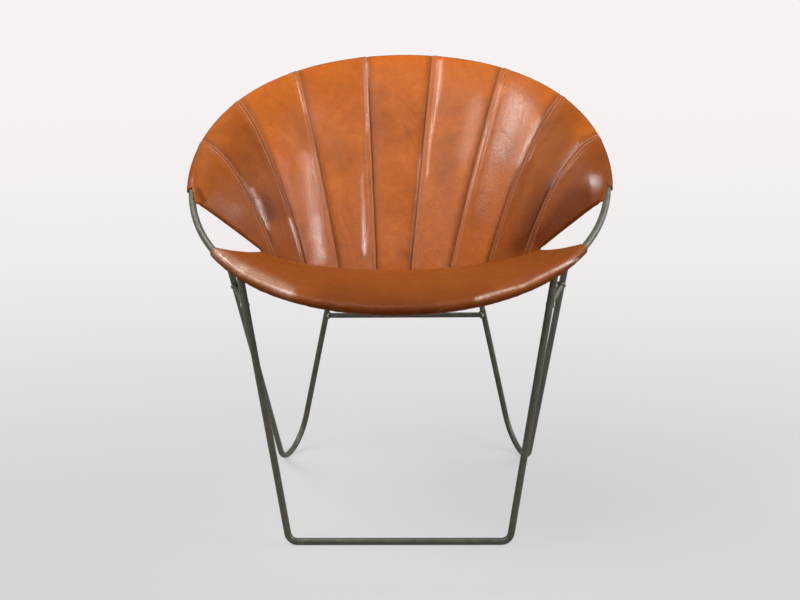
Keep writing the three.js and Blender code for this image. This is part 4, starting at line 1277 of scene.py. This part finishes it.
# %% [markdown]
# ## Stitches
# Every seam has two rows of straight machine stitches, 5 mm apart, in waxed thread. Painted
# dashes would vanish from the side, so each stitch is a small real loop of thread that dips into
# the leather at both ends. One stitch is made once, as a ring profile along a short arch, and its
# points are carried to every place along a seam in one sum.

# %% Sew the seams
STITCH_PITCH, STITCH_LENGTH, THREAD_RADIUS = 5.0, 3.5, 0.5
STITCH_SIDES, THREAD_SHARES = 6, np.array([0.55, 1, 1, 1, 0.55])
STITCH_LIFT_SHARE, STITCH_DIP_SHARE = 0.75, 1.25


def stitch_shape():
    """Points of one stitch: (along, across, up), an arch that ends below the surface."""
    rings = len(THREAD_SHARES)
    at = np.linspace(-1, 1, rings)
    thick = (THREAD_RADIUS * THREAD_SHARES)[:, None]
    lift = THREAD_RADIUS * (STITCH_LIFT_SHARE - STITCH_DIP_SHARE * at ** 4)
    roll = full_turn(STITCH_SIDES)
    along = np.repeat(at * STITCH_LENGTH / 2, STITCH_SIDES)
    aside = (thick * np.sin(roll)).ravel()
    up = (lift[:, None] + thick * np.cos(roll)).ravel()
    faces = grid_faces(rings, STITCH_SIDES, wrap_rows=True, turn=True).tolist()
    last = (rings - 1) * STITCH_SIDES
    faces += [list(range(STITCH_SIDES)), list(range(last + STITCH_SIDES - 1, last - 1, -1))]
    return np.stack([along, aside, up], axis=-1), faces


def sew(name, lines):
    """Stitches along lines of (points, normals), joined in one object; gives their count."""
    shape, shape_faces = stitch_shape()
    rows = []
    for line, line_normals in lines:
        reached = np.concatenate([[0], np.cumsum(gaps_along(line))])
        places = np.arange(STITCH_PITCH, reached[-1] - STITCH_PITCH / 2, STITCH_PITCH)

        def along_line(at, values):
            """The values at some ways along the line."""
            return np.stack([np.interp(at, reached, values[:, k]) for k in range(3)], axis=-1)

        up = unit(along_line(places, line_normals))
        ahead = along_line(places + 1, line) - along_line(places - 1, line)
        ahead = unit(ahead - dot(ahead, up)[:, None] * up)
        ways = np.stack([ahead, np.cross(up, ahead), up], axis=1)
        rows.append(along_line(places, line)[:, None] + shape @ ways)
    stitches = np.concatenate(rows)
    faces = [[stitch * len(shape) + v for v in face]
             for stitch in range(len(stitches)) for face in shape_faces]
    sewn = new_object(name, stitches, faces, [waxed_thread])
    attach(sewn, "root")
    return len(stitches)


# The rows start and end a little way inside the wrap and the sewn corner.
first_row, last_row = HEM_ROWS + FOLD_ROWS + 4, stations - SEAM_ROWS - 2
total_stitches = 0
for seam, lines in stitch_lines.items():
    cut_lines = [(line[first_row:last_row], up[first_row:last_row]) for line, up in lines]
    total_stitches += sew(f"seam_stitches_{seam}", cut_lines)
print("stitches:", total_stitches)

# %% [markdown]
# ## Studio
# A pale sweep stands behind and under the chair. It could be lit to white, but that would burn
# the leather too, so what the camera sees of it is mostly its own glow, darker towards the floor
# as painted shade, and only part of it answers to the lamps, which keeps the chair's soft shadow.

# %% The sweep's shape
SWEEP_FRONT, SWEEP_BACK, SWEEP_TOP, SWEEP_BEND = -3.6, 3.4, 4.6, 1.4
SWEEP_HALF_WIDTH, SWEEP_COLUMNS, PROFILE_STEPS = 6.0, 60, 90

# Its side line, as (y, z) points: floor, quarter circle, wall.
turn = np.linspace(0, math.pi / 2, PROFILE_STEPS)
ground = np.linspace(SWEEP_FRONT, SWEEP_BACK - SWEEP_BEND, PROFILE_STEPS)[:-1]
wall = np.linspace(SWEEP_BEND, SWEEP_TOP, PROFILE_STEPS)[1:]
profile = np.stack([
    np.concatenate([ground, SWEEP_BACK - SWEEP_BEND + SWEEP_BEND * np.sin(turn),
                    np.full(len(wall), SWEEP_BACK)]),
    np.concatenate([np.zeros(len(ground)), SWEEP_BEND - SWEEP_BEND * np.cos(turn), wall]),
], axis=-1)
sweep_points = np.zeros((SWEEP_COLUMNS, len(profile), 3))
sweep_points[..., 0] = np.linspace(-SWEEP_HALF_WIDTH, SWEEP_HALF_WIDTH, SWEEP_COLUMNS)[:, None]
sweep_points[..., 1:] = profile

# How far up the paper each point lies, as a share of its length, and where the picture's foot,
# its lower third and its top meet the paper.
ROW_FOOT, ROW_THIRD, ROW_TOP, SHOWN_FROM = 600, 400, 60, -1.0
gaps = gaps_along(profile)
climb = np.concatenate([[0.0], np.cumsum(gaps)]) / gaps.sum()
shown = profile[:, 0] > SHOWN_FROM
middle_line = sweep_points[0, shown] * [0, 1, 1]
rows_up = image_place(middle_line)[1][::-1]
foot, third, top = np.interp([ROW_FOOT, ROW_THIRD, ROW_TOP], rows_up, climb[shown][::-1])
print("paper tones at shares", round(foot, 3), round(third, 3), round(top, 3))

# %% The sweep's paper
# Matt card: a pale glow, darker towards the floor as painted shade, which the camera and shiny
# surfaces see, and a plain pale grey for the light that it hands on. Close to the chair it
# answers to the lamps for its shadow.
FLOOR_ANSWER, ANSWER_RADIUS = 0.35, 0.9
answers = FLOOR_ANSWER * np.exp(-(sweep_points ** 2).sum(axis=-1) / ANSWER_RADIUS ** 2)
sweep_paper, tree = new_material("matt_paper_sweep")
up_paper = add_node(tree, "Attribute", out="Fac", attribute_name="climb")
paper_glow_and_shade = add_node(tree, "ValToRGB", {"Fac": up_paper},
                      stops=[(foot, "#D2D2D2"), (third, "#E0DFDF"), (top, "#F8F3F2")])
answer = add_node(tree, "Attribute", out="Fac", attribute_name="answer")
lit = add_node(tree, "BsdfDiffuse", {"Color": (0.7, 0.7, 0.7, 1.0)})
own = add_node(tree, "Emission", {"Color": paper_glow_and_shade, "Strength": 1.0})
seen = add_node(tree, "MixShader", {0: answer, 1: own, 2: lit})
looks_on = add_node(tree, "LightPath", out="Is Camera Ray")
for ray in ("Is Glossy Ray", "Is Transmission Ray"):
    looks_on = add_node(tree, "Math", {0: looks_on, 1: add_node(tree, "LightPath", out=ray)},
                        operation="MAXIMUM")
both = add_node(tree, "MixShader", {0: looks_on, 1: lit, 2: seen})
add_node(tree, "OutputMaterial", {"Surface": both})

sweep = new_object("paper_sweep", sweep_points / MM,
                   grid_faces(SWEEP_COLUMNS, len(profile)).tolist(), [sweep_paper])
give_attribute(sweep, "climb", np.broadcast_to(climb, answers.shape))
give_attribute(sweep, "answer", answers)

# %% [markdown]
# ## Light
# Three large soft boxes, at the right, at the left and in front, light the dull colours. One
# lamp could do both jobs, but the wax and the steel mirror a lamp where it stands. So two more
# screens, which only shiny surfaces see, stand where the broad pale highlights beside the seams
# ask for them. A low even world light fills the shadows.

# %% Lamps
def soft_box(name, place, aim, size, watts, mirrored, shift=(0.0, 0.0)):
    """A rectangular lamp facing its aim, moved across and up in its own plane by the shift.
    It is either mirrored by shiny surfaces or lights the dull ones."""
    data = bpy.data.lights.new(name, "AREA")
    data.shape, data.size, data.size_y = "RECTANGLE", size[0], size[1]
    data.energy = watts
    lamp = bpy.data.objects.new(name, data)
    bpy.context.scene.collection.objects.link(lamp)
    way = Vector(aim) - Vector(place)
    turned = way.to_track_quat("-Z", "Y").to_matrix().to_4x4()
    lamp.matrix_world = (Matrix.Translation(place) @ turned
                         @ Matrix.Translation((shift[0], shift[1], 0.0)))
    lamp.visible_glossy = mirrored
    lamp.visible_diffuse = not mirrored


BUCKET = (0.0, 0.0, 0.55)
RIGHT_PLACE, LEFT_PLACE, FRONT_PLACE = (1.72, -0.36, 1.56), (-1.34, -0.46, 2.05), (0.3, -2.6, 2.2)
soft_box("right_box", RIGHT_PLACE, BUCKET, (1.8, 0.7), 37.0, mirrored=False)
soft_box("left_box", LEFT_PLACE, BUCKET, (1.7, 0.85), 41.0, mirrored=False)
soft_box("front_box", FRONT_PLACE, BUCKET, (2.4, 1.6), 11.5, mirrored=False)
soft_box("right_screen", RIGHT_PLACE, BUCKET, (2.56, 1.33), 290.0, mirrored=True,
         shift=(-0.25, 0.1))
soft_box("left_screen", LEFT_PLACE, BUCKET, (2.3, 2.12), 370.0, mirrored=True,
         shift=(0.21, 0.64))

# %% World
AIR_PLAIN, AIR_GLOSSY, AIR_SEEN = 0.14, 0.05, 0.78
world = bpy.data.worlds.new("studio")
bpy.context.scene.world = world
world.use_nodes = True
tree = world.node_tree
tree.nodes.clear()
# Shiny surfaces mirror less of it, and past the paper's edge the camera sees a pale grey room.
air_level = AIR_PLAIN
for ray, level in (("Is Glossy Ray", AIR_GLOSSY), ("Is Camera Ray", AIR_SEEN)):
    air_level = add_node(tree, "Math", {0: add_node(tree, "LightPath", out=ray),
                                        1: level - AIR_PLAIN, 2: air_level},
                         operation="MULTIPLY_ADD")
air = add_node(tree, "Background", {"Color": (1.0, 1.0, 1.0, 1.0), "Strength": air_level})
add_node(tree, "OutputWorld", {"Surface": air})

bpy.context.scene.view_settings.view_transform = "Standard"
